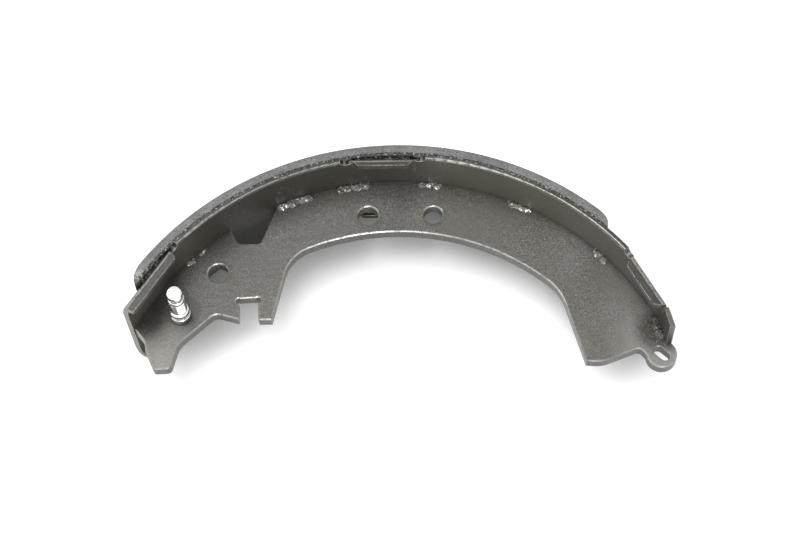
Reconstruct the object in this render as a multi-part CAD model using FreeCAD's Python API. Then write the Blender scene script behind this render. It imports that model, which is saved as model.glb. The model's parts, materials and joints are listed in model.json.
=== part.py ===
import FreeCAD, Part
import math
import os

# Drum brake shoe, sizes in millimetres and angles in degrees.
# The build frame has the drum axis as Z and the web's mid-plane at zero height.
# Angles run anticlockwise from +X. The finished shoe is moved so that the origin
# is the middle of its outer box, at the base.

# Drum, table and lining
drum_radius = 127.0
shoe_width = 45.5
lining_thickness = 4.3
lining_side_step = 0.15
table_thickness = 2.4
table_left_end = 151.5
table_edge_round = 1.1
lining_left_end = 146.4
lining_right_end = 40.8
lining_left_bevel = 2.4
lining_right_bevel = 3.7
lining_edge_break = 0.4

# Inward set at the right end of the table
bend_start = 23.0
bend_turn = 15.4
bend_radius = 20.0
end_straight = 7.4
end_step_drop = 4.0
end_step_slope = 35.0
lower_end_depth = 1.0

# Contact pads on both edges of the table: first and last angle, reach in from the
# table's outer face, lean from square and width cut off each inner corner
pads = (
    (21.6, 33.0, 7.0, -2.4, 2.3),
    (82.7, 95.3, 5.8, -2.4, 3.0),
    (137.0, 151.5, 7.0, 0.0, 0.8),
)
pad_bend_radius = 3.0
pad_set_in = 1.6
pad_blend_height = 12.0
pad_corner_depth = 2.6
pad_corner_round = 1.2
relief_width = 6.0
relief_depth = 2.4
relief_overlap = 1.3

# Web plate
web_thickness = 5.5
web_depth = 24.3
web_gap = 0.05
web_edge_break = 0.5
prong_corner = (44.8, 129.7)
prong_edge_angle = 74.2
prong_edge_blend = 17.0
foot_corner = (34.9, 20.7)
foot_edge_angle = 102.6
foot_edge_blend = 22.0

# Corners of the web's own outline, from the table's left end round to the lug:
# distance in from the table's inner face, angle and corner radius
web_corners = (
    (0.1, 151.2, 0.0),
    (6.4, 152.8, 4.0),
    (9.3, 155.0, 6.0),
    (15.4, 158.4, 1.8),
    (22.0, 156.9, 2.4),
    (20.0, 150.4, 9.0),
    (25.1, 138.9, 4.0),
    (36.0, 135.9, 0.0),
    (40.4, 133.0, 0.0),
    (47.7, 127.3, 0.0),
    (90.0, 90.0, 0.0),
    (38.3, 22.1, 0.0),
    (29.2, 18.7, 14.0),
    (12.3, 18.7, 2.6),
    (9.8, 14.4, 0.0),
    (5.0, 15.8, 0.0),
    (-4.0, 17.8, 0.0),
)

# Holes in the web: distance in from the table's inner face, angle and diameter
hole_first = (12.8, 130.8, 8.6)
hole_second = (15.7, 93.2, 8.8)
hole_third = (15.2, 78.0, 8.2)
hole_edge_round = 0.5

# Strut notch between the two prongs
notch_width = 8.1
notch_depth = 8.9
notch_relief_radius = 1.1

# Relief in the outer edge of the web, next to the table
window_floor_depth = 12.6
window_floor_angle = 118.9
window_floor_width = 9.8
window_floor_slope = 4.0
window_right_angle = 111.7
window_left_angle = 122.4
window_corner = 2.5

# Spring lug with its slot
lug_inset = 5.1
lug_angle = 15.8
lug_radius = 6.3
slot_length = 7.3
slot_width = 3.9
slot_angle = -46.0
slot_edge_break = 0.45

# Lever pin, heights from the web's top face
pin_inset = 14.0
pin_angle = 143.9
pin_shank_radius = 3.45
pin_shank_high = 17.1
pin_shank_chamfer = 0.3
pin_line_radius = 3.2
pin_line_low = 14.8
pin_line_high = 15.2
pin_flange_radius = 4.4
pin_flange_height = 3.3
pin_ring_radius = 4.15
pin_ring_low = 3.8
pin_ring_high = 6.9
pin_ring_chamfer = 0.5
pin_ring_step = 0.35
pin_flange_chamfer = 0.3
pin_groove_radius = 2.6
pin_groove_high = 18.0
pin_head_radius = 3.2
pin_height = 21.9
pin_top_chamfer = 0.7
pin_tail_radius = 3.1
pin_tail_gap = 0.02
rivet_head_radius = 5.2
rivet_head_height = 1.8
coined_radius = 7.8
coined_depth = 0.15
coined_slope = 0.5

# Weld beads along the seam: first angle, last angle and bead radius
welds = (
    (19.6, 23.4, 2.1),
    (39.4, 42.2, 1.9),
    (58.2, 63.0, 1.7),
    (77.4, 81.4, 2.0),
    (92.8, 98.0, 2.1),
    (105.0, 110.8, 2.2),
    (129.5, 130.2, 1.3),
    (132.6, 133.4, 1.5),
)
weld_end_taper = 0.8

# Derived sizes
table_outer = drum_radius - lining_thickness
table_inner = table_outer - table_thickness
web_inner = table_inner - web_depth
half_width = shoe_width / 2.0
web_top = web_thickness / 2.0
UP = FreeCAD.Vector(0, 0, 1)
ORIGIN = FreeCAD.Vector(0, 0, 0)


def polar(radius, angle, z=0.0):
    turn = math.radians(angle)
    return FreeCAD.Vector(radius * math.cos(turn), radius * math.sin(turn), z)


def inward(depth, angle):
    # A point in the web at a depth in from the table's inner face
    return polar(table_inner - depth, angle)


def arc(centre, radius, first, last):
    middle = (first + last) / 2.0
    return Part.Arc(
        centre + polar(radius, first),
        centre + polar(radius, middle),
        centre + polar(radius, last),
    ).toShape()


def line(first, last):
    return Part.makeLine(first, last)


def face_of(edges):
    return Part.Face(Part.Wire(Part.__sortEdges__(edges)))


def prism(face, low, high):
    moved = face.copy()
    moved.translate(UP * low)
    return moved.extrude(UP * (high - low))


def rounded_face(corners):
    # A polygon whose corners, given as point and radius, are rounded
    count = len(corners)
    joints = []
    for index in range(count):
        point, radius = corners[index]
        before = (corners[index - 1][0] - point).normalize()
        after = (corners[(index + 1) % count][0] - point).normalize()
        if radius <= 0.0:
            joints.append((point, None, point))
            continue
        half = before.getAngle(after) / 2.0
        reach = radius / math.tan(half)
        centre = point + (before + after).normalize() * (radius / math.sin(half))
        middle = centre + (point - centre).normalize() * radius
        joints.append((point + before * reach, middle, point + after * reach))
    edges = []
    for index in range(count):
        start, middle, end = joints[index]
        if middle is not None:
            edges.append(Part.Arc(start, middle, end).toShape())
        following = joints[(index + 1) % count][0]
        if (following - end).Length > 1e-4:
            edges.append(line(end, following))
    return face_of(edges)


def mirrored(shape):
    return shape.mirror(ORIGIN, UP)


def bend_centre():
    return polar(table_outer - bend_radius, bend_start)


def end_heading():
    return bend_start - bend_turn


def end_direction():
    return polar(1.0, end_heading() - 90.0)


def right_end(radius):
    # Where a line that follows the table at this radius stops at the right
    tangent = bend_centre() + polar(radius - table_outer + bend_radius, end_heading())
    return tangent + end_direction() * end_straight


def seam_point(angle):
    # The foot of the table's inner face at an angle, also past the bend
    if angle >= bend_start:
        return polar(table_inner, angle)
    travel = math.radians(bend_start - angle) * table_inner
    inner_bend = bend_radius - table_thickness
    bend_travel = inner_bend * math.radians(bend_turn)
    if travel < bend_travel:
        turned = bend_start - math.degrees(travel / inner_bend)
        return bend_centre() + polar(inner_bend, turned)
    start = bend_centre() + polar(inner_bend, end_heading())
    return start + end_direction() * (travel - bend_travel)


def following_edges(radius, first_angle, extra):
    # Edges that follow the table from the left, through the bend, to the right end
    bend = radius - table_outer + bend_radius
    start = bend_centre() + polar(bend, end_heading())
    stop = right_end(radius) + end_direction() * extra
    return [
        arc(ORIGIN, radius, first_angle, bend_start),
        arc(bend_centre(), bend, bend_start, end_heading()),
        line(start, stop),
    ]


def table_plan():
    outside = following_edges(table_outer, table_left_end, 0.0)
    inside = following_edges(table_inner, table_left_end, 0.0)
    left = line(polar(table_outer, table_left_end), polar(table_inner, table_left_end))
    right = line(right_end(table_outer), right_end(table_inner))
    return face_of(outside + [right] + inside + [left])


def beyond(radius, past):
    # Everything in plan outwards from a line that follows the table at a radius
    first = table_left_end + 4.0
    far = 2.0 * drum_radius
    edges = following_edges(radius, first, past)
    stop = right_end(radius) + end_direction() * past
    aside = stop + polar(far, end_heading())
    corners = [stop, aside, FreeCAD.Vector(far, far, 0), FreeCAD.Vector(-far, far, 0)]
    corners += [FreeCAD.Vector(-far, polar(radius, first).y, 0), polar(radius, first)]
    for index in range(len(corners) - 1):
        edges.append(line(corners[index], corners[index + 1]))
    return face_of(edges)


def beyond_table(gap):
    return beyond(table_inner - gap, gap)


def pad_frame(pad):
    # A pad's place: where its own frame starts, the directions out through it and
    # along it, and its half length
    first, last, reach, lean, cut = pad
    middle = (first + last) / 2.0
    face = table_outer - pad_set_in
    length = face * math.tan(math.radians(last - first) / 2.0)
    out = polar(1.0, middle + lean)
    along = polar(1.0, middle + lean + 90.0)
    return polar(face, middle) - out * face, out, along, length


def pad_outer_edges():
    # Outer line of the pad's section: sloping wall and the bend over the top
    top = half_width
    face = table_outer - pad_set_in
    centre = FreeCAD.Vector(face - pad_bend_radius, 0, top - pad_bend_radius)
    slant = math.sqrt(0.5) * pad_bend_radius
    low = FreeCAD.Vector(table_outer, 0, top - pad_blend_height)
    start = FreeCAD.Vector(face, 0, centre.z)
    middle = centre + FreeCAD.Vector(slant, 0, slant)
    end = FreeCAD.Vector(centre.x, 0, top)
    return low, end, [line(low, start), Part.Arc(start, middle, end).toShape()]


def pad_section(reach):
    top = half_width
    face = table_outer - pad_set_in
    inner_bend = pad_bend_radius - table_thickness
    low, end, edges = pad_outer_edges()
    tip = FreeCAD.Vector(table_outer - reach - 1.0, 0, top)
    under_tip = tip - UP * table_thickness
    under = FreeCAD.Vector(end.x, 0, top - table_thickness)
    centre = FreeCAD.Vector(end.x, 0, top - pad_bend_radius)
    slant = math.sqrt(0.5) * inner_bend
    wall = FreeCAD.Vector(face - table_thickness, 0, centre.z)
    foot = low - FreeCAD.Vector(table_thickness, 0, 0)
    edges += [line(end, tip), line(tip, under_tip), line(under_tip, under)]
    edges += [Part.Arc(under, centre + FreeCAD.Vector(slant, 0, slant), wall).toShape()]
    edges += [line(wall, foot), line(foot, low)]
    return face_of(edges)


def outside_section():
    # What the pad's pressing takes off the outside of the curved wall
    low, end, edges = pad_outer_edges()
    above = FreeCAD.Vector(end.x, 0, half_width + 2.0)
    far_above = FreeCAD.Vector(table_outer + 4.0, 0, half_width + 2.0)
    far_low = FreeCAD.Vector(table_outer + 4.0, 0, low.z)
    edges += [line(end, above), line(above, far_above), line(far_above, far_low)]
    edges += [line(far_low, low)]
    return face_of(edges)


def along_pad(section, pad, before=0.0, after=0.0):
    # Sweep a section, drawn at angle zero, straight along a pad
    start, out, along, length = pad_frame(pad)
    moved = section.copy()
    moved.rotate(ORIGIN, UP, (pad[0] + pad[1]) / 2.0 + pad[3])
    moved.translate(start - along * (length + before))
    return moved.extrude(along * (2.0 * length + before + after))


def pad_outline(pad):
    # Plan outline of a pad, with both inner corners cut off and rounded
    first, last, reach, lean, cut = pad
    start, out, along, length = pad_frame(pad)
    tip = table_outer - reach
    shoulder = tip + pad_corner_depth
    far = table_outer + 8.0
    plan = (
        (far, -length, 0.0),
        (far, length, 0.0),
        (shoulder, length, pad_corner_round),
        (tip, length - cut, pad_corner_round),
        (tip, cut - length, pad_corner_round),
        (shoulder, -length, pad_corner_round),
    )
    corners = [(start + out * x + along * y, turn) for x, y, turn in plan]
    return prism(rounded_face(corners), 0.0, half_width + 1.0)


def left_end_limit():
    # Half-plane past the table's left end, used to trim a pad flush with it
    corner = polar(table_inner - 20.0, table_left_end)
    far = polar(table_outer + 20.0, table_left_end)
    past = polar(30.0, table_left_end + 90.0)
    points = [corner, far, far + past, corner + past]
    return prism(rounded_face([(point, 0.0) for point in points]), 0.0, half_width + 1.0)


def relief_cuts(pad):
    # Shallow rounded notches in the table's edge at both ends of a pad, apart from
    # the table's own ends
    start, out, along, length = pad_frame(pad)
    half = relief_width / 2.0
    radius = (half * half + relief_depth * relief_depth) / (2.0 * relief_depth)
    height = half_width + radius - relief_depth
    cuts = []
    for side in (-1.0, 1.0):
        shift = side * (length + half - relief_overlap)
        at = start + out * (table_inner - 8.0) + along * shift
        if bend_start < math.degrees(math.atan2(at.y, at.x)) < table_left_end - 2.0:
            cuts.append(Part.makeCylinder(radius, 20.0, at + UP * height, out))
    return cuts


def end_step():
    # Takes the edge down beyond the last pad, and slopes it down outwards
    start, out, along, length = pad_frame(pads[0])
    corner = start + out * table_inner - along * length + UP * (half_width - end_step_drop)
    slope = math.radians(end_step_slope)
    outwards = out * math.cos(slope) - UP * math.sin(slope)
    away = along * -40.0
    base = corner - outwards * 12.0
    points = [base, base + outwards * 24.0, base + outwards * 24.0 + away, base + away]
    face = rounded_face([(point, 0.0) for point in points])
    return face.extrude(UP * shoe_width)


def lower_end_cut():
    # Below the web, the strip stops at the last pad, so the slot stays clear
    start, out, along, length = pad_frame(pads[0])
    corner = start + out * (table_inner - 15.0) - along * length
    away = along * -40.0
    points = [corner, corner + out * 30.0, corner + out * 30.0 + away, corner + away]
    face = rounded_face([(point, 0.0) for point in points])
    return prism(face, -shoe_width, -web_top - lower_end_depth)


def rolled_wall():
    # The curved strip from the web's mid-plane up, with its inner edge rounded over
    wall = prism(table_plan(), 0.0, half_width)
    rims = []
    for edge in wall.Edges:
        first, last = edge.ParameterRange
        middle = edge.valueAt((first + last) / 2.0)
        if abs(middle.z - half_width) < 1e-3 and edge.Length > 2.0 * table_thickness:
            if is_inner(middle):
                rims.append(edge)
    return wall.makeFillet(table_edge_round, rims)


def is_inner(point):
    # Whether a point on the strip's plan is on its inner line
    if math.degrees(math.atan2(point.y, point.x)) > bend_start:
        return math.hypot(point.x, point.y) < (table_inner + table_outer) / 2.0
    from_bend = FreeCAD.Vector(point.x, point.y, 0) - bend_centre()
    return from_bend.dot(polar(1.0, end_heading())) < bend_radius - table_thickness / 2.0


def upper_table():
    # The table from the web's mid-plane up, with pads, notches and the end's step
    wall = rolled_wall().cut(end_step())
    outside = prism(beyond(table_outer, 0.0), 0.0, shoe_width)
    for pad in pads:
        before = 0.0 if pad is pads[0] else relief_overlap
        wall = wall.cut(along_pad(outside_section(), pad, before, relief_overlap))
        for cut in relief_cuts(pad):
            wall = wall.cut(cut)
    for pad in pads:
        tab = along_pad(pad_section(pad[2]), pad).common(pad_outline(pad))
        wall = wall.fuse(tab.cut(left_end_limit()).cut(outside))
    return wall


def make_table():
    upper = upper_table()
    lower = mirrored(upper).cut(lower_end_cut())
    return upper.fuse(lower).removeSplitter()


def make_lining():
    outer_left = lining_left_end - lining_left_bevel
    outer_right = lining_right_end + lining_right_bevel
    shoulder = polar(table_outer + 0.63 * lining_thickness, lining_right_end + 1.1)
    edges = [
        arc(ORIGIN, drum_radius, outer_left, outer_right),
        line(polar(drum_radius, outer_right), shoulder),
        line(shoulder, polar(table_outer, lining_right_end)),
        arc(ORIGIN, table_outer, lining_right_end, lining_left_end),
        line(polar(table_outer, lining_left_end), polar(drum_radius, outer_left)),
    ]
    half = half_width - lining_side_step
    block = prism(face_of(edges), -half, half)
    rims = []
    for edge in block.Edges:
        box = edge.BoundBox
        level = box.ZLength < 1e-3
        outer = (box.Center - UP * box.Center.z).Length > 0.0
        far = max(math.hypot(v.X, v.Y) for v in edge.Vertexes)
        near = min(math.hypot(v.X, v.Y) for v in edge.Vertexes)
        if level and outer and far > drum_radius - 0.01 and near > table_outer + 1.0:
            rims.append(edge)
    return block.makeChamfer(lining_edge_break, rims)


def inner_contour_corner(point, angle, blend, side):
    # Round corner between a straight edge and the crescent's inner arc
    along = polar(1.0, angle)
    normal = polar(1.0, angle - 90.0 * side)
    offset = point + normal * blend
    reach = web_inner - blend
    half = offset.dot(along)
    travel = -half + math.sqrt(half * half - offset.dot(offset) + reach * reach)
    centre = offset + along * travel
    on_line = point + along * travel
    on_arc = centre + (centre * 1.0).normalize() * blend
    middle = centre + ((on_line - centre) + (on_arc - centre)).normalize() * blend
    return on_line, middle, on_arc


def crescent_opening():
    # The open space inside the crescent, between the prong and the foot
    prong = inward(*prong_corner)
    foot = inward(*foot_corner)
    low = FreeCAD.Vector(0, -30, 0)
    p_line, p_mid, p_arc = inner_contour_corner(prong, prong_edge_angle, prong_edge_blend, 1)
    f_line, f_mid, f_arc = inner_contour_corner(foot, foot_edge_angle, foot_edge_blend, -1)
    first = math.degrees(math.atan2(p_arc.y, p_arc.x))
    last = math.degrees(math.atan2(f_arc.y, f_arc.x))
    prong_low = prong - polar(60.0, prong_edge_angle)
    foot_low = foot - polar(60.0, foot_edge_angle)
    edges = [
        line(prong_low, p_line),
        Part.Arc(p_line, p_mid, p_arc).toShape(),
        arc(ORIGIN, web_inner, first, last),
        Part.Arc(f_arc, f_mid, f_line).toShape(),
        line(f_line, foot_low),
        line(foot_low, foot_low + low),
        line(foot_low + low, prong_low + low),
        line(prong_low + low, prong_low),
    ]
    return face_of(edges)


def web_body():
    # The plate's own outline, running out past the table on the outside
    corners = [(inward(depth, angle), turn) for depth, angle, turn in web_corners]
    corners += [
        (polar(1.25 * drum_radius, 20.0), 0.0),
        (polar(1.45 * drum_radius, 60.0), 0.0),
        (polar(1.45 * drum_radius, 110.0), 0.0),
        (polar(1.15 * drum_radius, 149.0), 0.0),
    ]
    return rounded_face(corners)


def notch_frame():
    # Middle of the notch's mouth, direction into the web and direction across
    mouth = inward(37.1, 134.0)
    return mouth, FreeCAD.Vector(0, 1, 0), FreeCAD.Vector(1, 0, 0)


def strut_notch():
    mouth, deep, across = notch_frame()
    half = across * (notch_width / 2.0)
    low = mouth - deep * 20.0
    high = mouth + deep * notch_depth
    outline = [low - half, low + half, high + half, high - half]
    notch = rounded_face([(point, 0.0) for point in outline])
    for side in (-1.0, 1.0):
        corner = high + half * side - deep * (0.8 * notch_relief_radius)
        disc = Part.Face(Part.Wire(Part.makeCircle(notch_relief_radius, corner)))
        notch = notch.fuse(disc)
    return notch


def edge_window():
    # Relief against the table: a nearly level floor and two sides that spread
    floor_right = inward(window_floor_depth, window_floor_angle)
    floor_left = floor_right + polar(window_floor_width, 180.0 - window_floor_slope)
    right = inward(0.0, window_right_angle)
    left = inward(0.0, window_left_angle)
    corners = [
        (floor_right, window_corner),
        (floor_right + (right - floor_right) * 1.6, 0.0),
        (floor_left + (left - floor_left) * 2.5, 0.0),
        (floor_left, window_corner),
    ]
    return rounded_face(corners)


def slot_plan(grow=0.0):
    centre = inward(lug_inset, lug_angle)
    radius = slot_width / 2.0 + grow
    reach = polar((slot_length - slot_width) / 2.0, slot_angle)
    side = polar(radius, slot_angle + 90.0)
    first = centre + reach
    last = centre - reach
    edges = [
        line(last + side, first + side),
        Part.Arc(first + side, first + polar(radius, slot_angle), first - side).toShape(),
        line(first - side, last - side),
        Part.Arc(last - side, last - polar(radius, slot_angle), last + side).toShape(),
    ]
    return face_of(edges)


def web_plan():
    # Outline of the plate, still running out past the table
    lug = Part.Face(Part.Wire(Part.makeCircle(lug_radius, inward(lug_inset, lug_angle))))
    plan = web_body().fuse(lug)
    for cut in (crescent_opening(), strut_notch(), edge_window()):
        plan = plan.cut(cut)
    faces = sorted(plan.removeSplitter().Faces, key=lambda face: face.Area)
    return faces[-1]


def level_rims(plate, keep):
    # Edges that lie flat on either face of a plate and whose middle passes a test
    rims = []
    for edge in plate.Edges:
        if edge.BoundBox.ZLength > 1e-3:
            continue
        first, last = edge.ParameterRange
        if keep(edge.valueAt((first + last) / 2.0)):
            rims.append(edge)
    return rims


def near_slot(point):
    centre = inward(lug_inset, lug_angle)
    return math.hypot(point.x - centre.x, point.y - centre.y) < 0.52 * slot_length


def inside_table(point):
    lug = inward(lug_inset, lug_angle)
    on_lug = math.hypot(point.x - lug.x, point.y - lug.y) < 1.05 * lug_radius
    return on_lug or math.hypot(point.x, point.y) < table_inner + 2.0


def bore_tool(radius, at, edge_round):
    # Straight bore with a small cone at each mouth
    at_low = FreeCAD.Vector(at.x, at.y, -web_top)
    tool = Part.makeCylinder(radius, web_thickness, at_low)
    cone_low = Part.makeCone(radius + edge_round, radius, edge_round, at_low)
    at_high = FreeCAD.Vector(at.x, at.y, web_top - edge_round)
    cone_high = Part.makeCone(radius, radius + edge_round, edge_round, at_high)
    return tool.fuse(cone_low).fuse(cone_high)


def pin_centre():
    return inward(pin_inset, pin_angle)


def make_web():
    plate = prism(web_plan(), -web_top, web_top)
    web = plate.makeChamfer(web_edge_break, level_rims(plate, inside_table))
    web = web.cut(prism(beyond_table(web_gap), -web_thickness, web_thickness))
    web = web.cut(prism(slot_plan(), -web_top, web_top))
    web = web.makeChamfer(slot_edge_break, level_rims(web, near_slot))
    for depth, angle, diameter in (hole_first, hole_second, hole_third):
        web = web.cut(bore_tool(diameter / 2.0, inward(depth, angle), hole_edge_round))
    centre = pin_centre()
    low = FreeCAD.Vector(centre.x, centre.y, -web_top)
    web = web.cut(Part.makeCylinder(pin_tail_radius, web_thickness, low))
    coin = FreeCAD.Vector(centre.x, centre.y, web_top - coined_depth)
    floor_radius = coined_radius - coined_slope
    return web.cut(Part.makeCone(floor_radius, coined_radius, coined_depth, coin))


def make_lever_pin():
    # Turned profile from the rivet head below the web to the grooved free end
    seat = web_top - coined_depth
    tail = pin_tail_radius - pin_tail_gap
    crown = -web_top - rivet_head_height
    profile = [
        (0.0, crown),
        (0.55 * rivet_head_radius, crown),
        (rivet_head_radius, -web_top - 0.3 * rivet_head_height),
        (rivet_head_radius, -web_top),
        (tail, -web_top),
        (tail, seat),
        (pin_flange_radius, seat),
        (pin_flange_radius, web_top + pin_flange_height - pin_flange_chamfer),
        (pin_flange_radius - pin_flange_chamfer, web_top + pin_flange_height),
        (pin_ring_radius - pin_ring_step, web_top + pin_flange_height),
        (pin_ring_radius - pin_ring_step, web_top + pin_ring_low),
        (pin_ring_radius, web_top + pin_ring_low),
        (pin_ring_radius, web_top + pin_ring_high - pin_ring_chamfer),
        (pin_ring_radius - pin_ring_chamfer, web_top + pin_ring_high),
        (pin_shank_radius, web_top + pin_ring_high),
        (pin_shank_radius, web_top + pin_line_low),
        (pin_line_radius, web_top + pin_line_low),
        (pin_line_radius, web_top + pin_line_high),
        (pin_shank_radius, web_top + pin_line_high),
        (pin_shank_radius, web_top + pin_shank_high - pin_shank_chamfer),
        (pin_shank_radius - pin_shank_chamfer, web_top + pin_shank_high),
        (pin_groove_radius, web_top + pin_shank_high),
        (pin_groove_radius, web_top + pin_groove_high),
        (pin_head_radius, web_top + pin_groove_high),
        (pin_head_radius, web_top + pin_height - pin_top_chamfer),
        (pin_head_radius - pin_top_chamfer, web_top + pin_height),
        (0.0, web_top + pin_height),
    ]
    points = [FreeCAD.Vector(radius, 0, z) for radius, z in profile]
    edges = [line(points[i], points[i + 1]) for i in range(len(points) - 1)]
    edges.append(line(points[-1], points[0]))
    pin = face_of(edges).revolve(ORIGIN, UP, 360.0)
    pin.translate(pin_centre())
    return pin


def weld_bead(first, last, radius):
    # A short run with tapered ends in the corner between the web and the table
    start = seam_point(first) + UP * web_top
    run = seam_point(last) + UP * web_top - start
    taper = weld_end_taper * radius
    tip = 0.4 * radius
    bead = Part.makeCylinder(radius, run.Length, start, run)
    bead = bead.fuse(Part.makeCone(radius, tip, taper, start + run, run))
    return bead.fuse(Part.makeCone(radius, tip, taper, start, run * -1.0))


def make_weld_beads():
    reach = prism(beyond_table(0.0), 0.0, half_width)
    below = Part.makeBox(400, 400, web_top + 5, FreeCAD.Vector(-200, -200, -5))
    beads = []
    for first, last, radius in welds:
        bead = weld_bead(first, last, radius).cut(below).cut(reach)
        beads += bead.Solids
    # The first bead is past the end of the strip's lower half
    lower = [mirrored(bead) for bead in beads[1:]]
    return Part.makeCompound(beads + lower)


def main():
    os.makedirs("parts", exist_ok=True)
    nodes = {
        "shoe_table": make_table(),
        "shoe_web": make_web(),
        "friction_lining": make_lining(),
        "lever_pin": make_lever_pin(),
        "weld_beads": make_weld_beads(),
    }
    whole = Part.makeCompound(list(nodes.values())).optimalBoundingBox(False, False)
    shift = FreeCAD.Vector(-whole.Center.x, -whole.Center.y, -whole.ZMin)
    for name, shape in nodes.items():
        shape.translate(shift)
        shape.exportStep("parts/" + name + ".step")


main()
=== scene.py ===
"""Looks of a drum brake shoe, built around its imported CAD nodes."""

import json
import logging
import math
from collections.abc import Iterator
from contextlib import contextmanager
from dataclasses import dataclass
from enum import Enum

import bpy
from mathutils import Matrix, Vector

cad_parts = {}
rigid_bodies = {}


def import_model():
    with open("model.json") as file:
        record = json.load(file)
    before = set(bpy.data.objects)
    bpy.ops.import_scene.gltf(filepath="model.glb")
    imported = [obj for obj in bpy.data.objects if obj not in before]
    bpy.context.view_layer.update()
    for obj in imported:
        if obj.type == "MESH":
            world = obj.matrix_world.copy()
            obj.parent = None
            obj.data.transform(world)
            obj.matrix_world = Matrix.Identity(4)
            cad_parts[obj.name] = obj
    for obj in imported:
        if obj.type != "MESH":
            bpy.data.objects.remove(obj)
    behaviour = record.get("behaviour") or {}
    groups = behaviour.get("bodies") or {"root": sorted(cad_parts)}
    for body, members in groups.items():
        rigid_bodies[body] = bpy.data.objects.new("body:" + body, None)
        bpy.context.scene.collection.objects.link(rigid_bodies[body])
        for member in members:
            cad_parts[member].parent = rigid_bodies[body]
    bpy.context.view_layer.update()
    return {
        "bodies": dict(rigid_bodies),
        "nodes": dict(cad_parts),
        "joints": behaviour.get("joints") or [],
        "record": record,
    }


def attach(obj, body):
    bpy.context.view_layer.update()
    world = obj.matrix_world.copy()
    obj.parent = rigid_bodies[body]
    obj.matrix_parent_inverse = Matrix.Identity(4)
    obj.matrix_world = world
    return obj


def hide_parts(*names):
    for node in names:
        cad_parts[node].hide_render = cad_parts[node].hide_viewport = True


LOG = logging.getLogger("brake_shoe")
MM = 0.001

Colour = tuple[float, float, float, float]
Socket = bpy.types.NodeSocket


class Slot(Enum):
    """The record's material slots."""

    TABLE = "table_paint"
    WEB = "web_paint"
    LINING = "lining"
    PIN = "pin_zinc"
    WELD = "weld"


class Node(Enum):
    """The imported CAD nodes."""

    TABLE = "shoe_table"
    WEB = "shoe_web"
    LINING = "friction_lining"
    PIN = "lever_pin"
    WELD = "weld_beads"


class Side(Enum):
    """The two sides of the web."""

    UPPER = 1.0
    LOWER = -1.0


@dataclass(frozen=True)
class ShoeFrame:
    """Places that the pieces share, in metres and degrees.

    Attributes:
        axis: The drum axis in plan.
        middle: Height of the web's mid-plane.
        half_web: Half the web's thickness.
        half_width: Half the table's width.
        table_outer: Radius of the table's outer face.
        table_inner: Radius of the table's inner face.
        drum: Radius of the lining's face.
        bend_start: Angle at which the table's right end starts its inward bend.
        bend_turn: How far that bend turns, in degrees.
        bend_radius: Outer radius of that bend.
    """

    axis: tuple[float, float] = (-4.658 * MM, -76.033 * MM)
    middle: float = 22.75 * MM
    half_web: float = 2.75 * MM
    half_width: float = 22.75 * MM
    table_outer: float = 122.7 * MM
    table_inner: float = 120.3 * MM
    drum: float = 127.0 * MM
    bend_start: float = 23.0
    bend_turn: float = 15.4
    bend_radius: float = 20.0 * MM

    def at(self, radius: float, angle: float, height: float = 0.0) -> Vector:
        """Gives a point by its radius, angle and height.

        Args:
            radius: Distance from the drum axis in metres.
            angle: Angle from +X in degrees.
            height: Height above the ground in metres.

        Returns:
            The point in the row frame.
        """
        turn = math.radians(angle)
        x = self.axis[0] + radius * math.cos(turn)
        y = self.axis[1] + radius * math.sin(turn)
        return Vector((x, y, height))

    def centre(self, height: float = 0.0) -> Vector:
        """Gives the drum axis at a height."""
        return Vector((self.axis[0], self.axis[1], height))

    def web_face(self, side: Side) -> float:
        """Gives the height of the web's upper or lower face."""
        return self.middle + side.value * self.half_web

    def rim(self, side: Side) -> float:
        """Gives the height of the table's upper or lower edge."""
        return self.middle + side.value * self.half_width

    def seam(self, angle: float, height: float) -> Vector:
        """Gives a point where the table's inner face meets the web, also in the end's bend.

        Args:
            angle: Angle from +X in degrees, or the same travel along the bend.
            height: Height above the ground in metres.

        Returns:
            The point in the row frame.
        """
        if angle >= self.bend_start:
            return self.at(self.table_inner, angle, height)
        inner = self.bend_radius - (self.table_outer - self.table_inner)
        centre = self.at(self.table_outer - self.bend_radius, self.bend_start, height)
        travel = math.radians(self.bend_start - angle) * self.table_inner
        turned = math.radians(self.bend_start) - min(travel / inner, math.radians(self.bend_turn))
        past = max(0.0, travel - inner * math.radians(self.bend_turn))
        out = Vector((math.cos(turned), math.sin(turned), 0.0))
        onward = Vector((math.sin(turned), -math.cos(turned), 0.0))
        return centre + out * inner + onward * past


SHOE = ShoeFrame()


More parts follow.
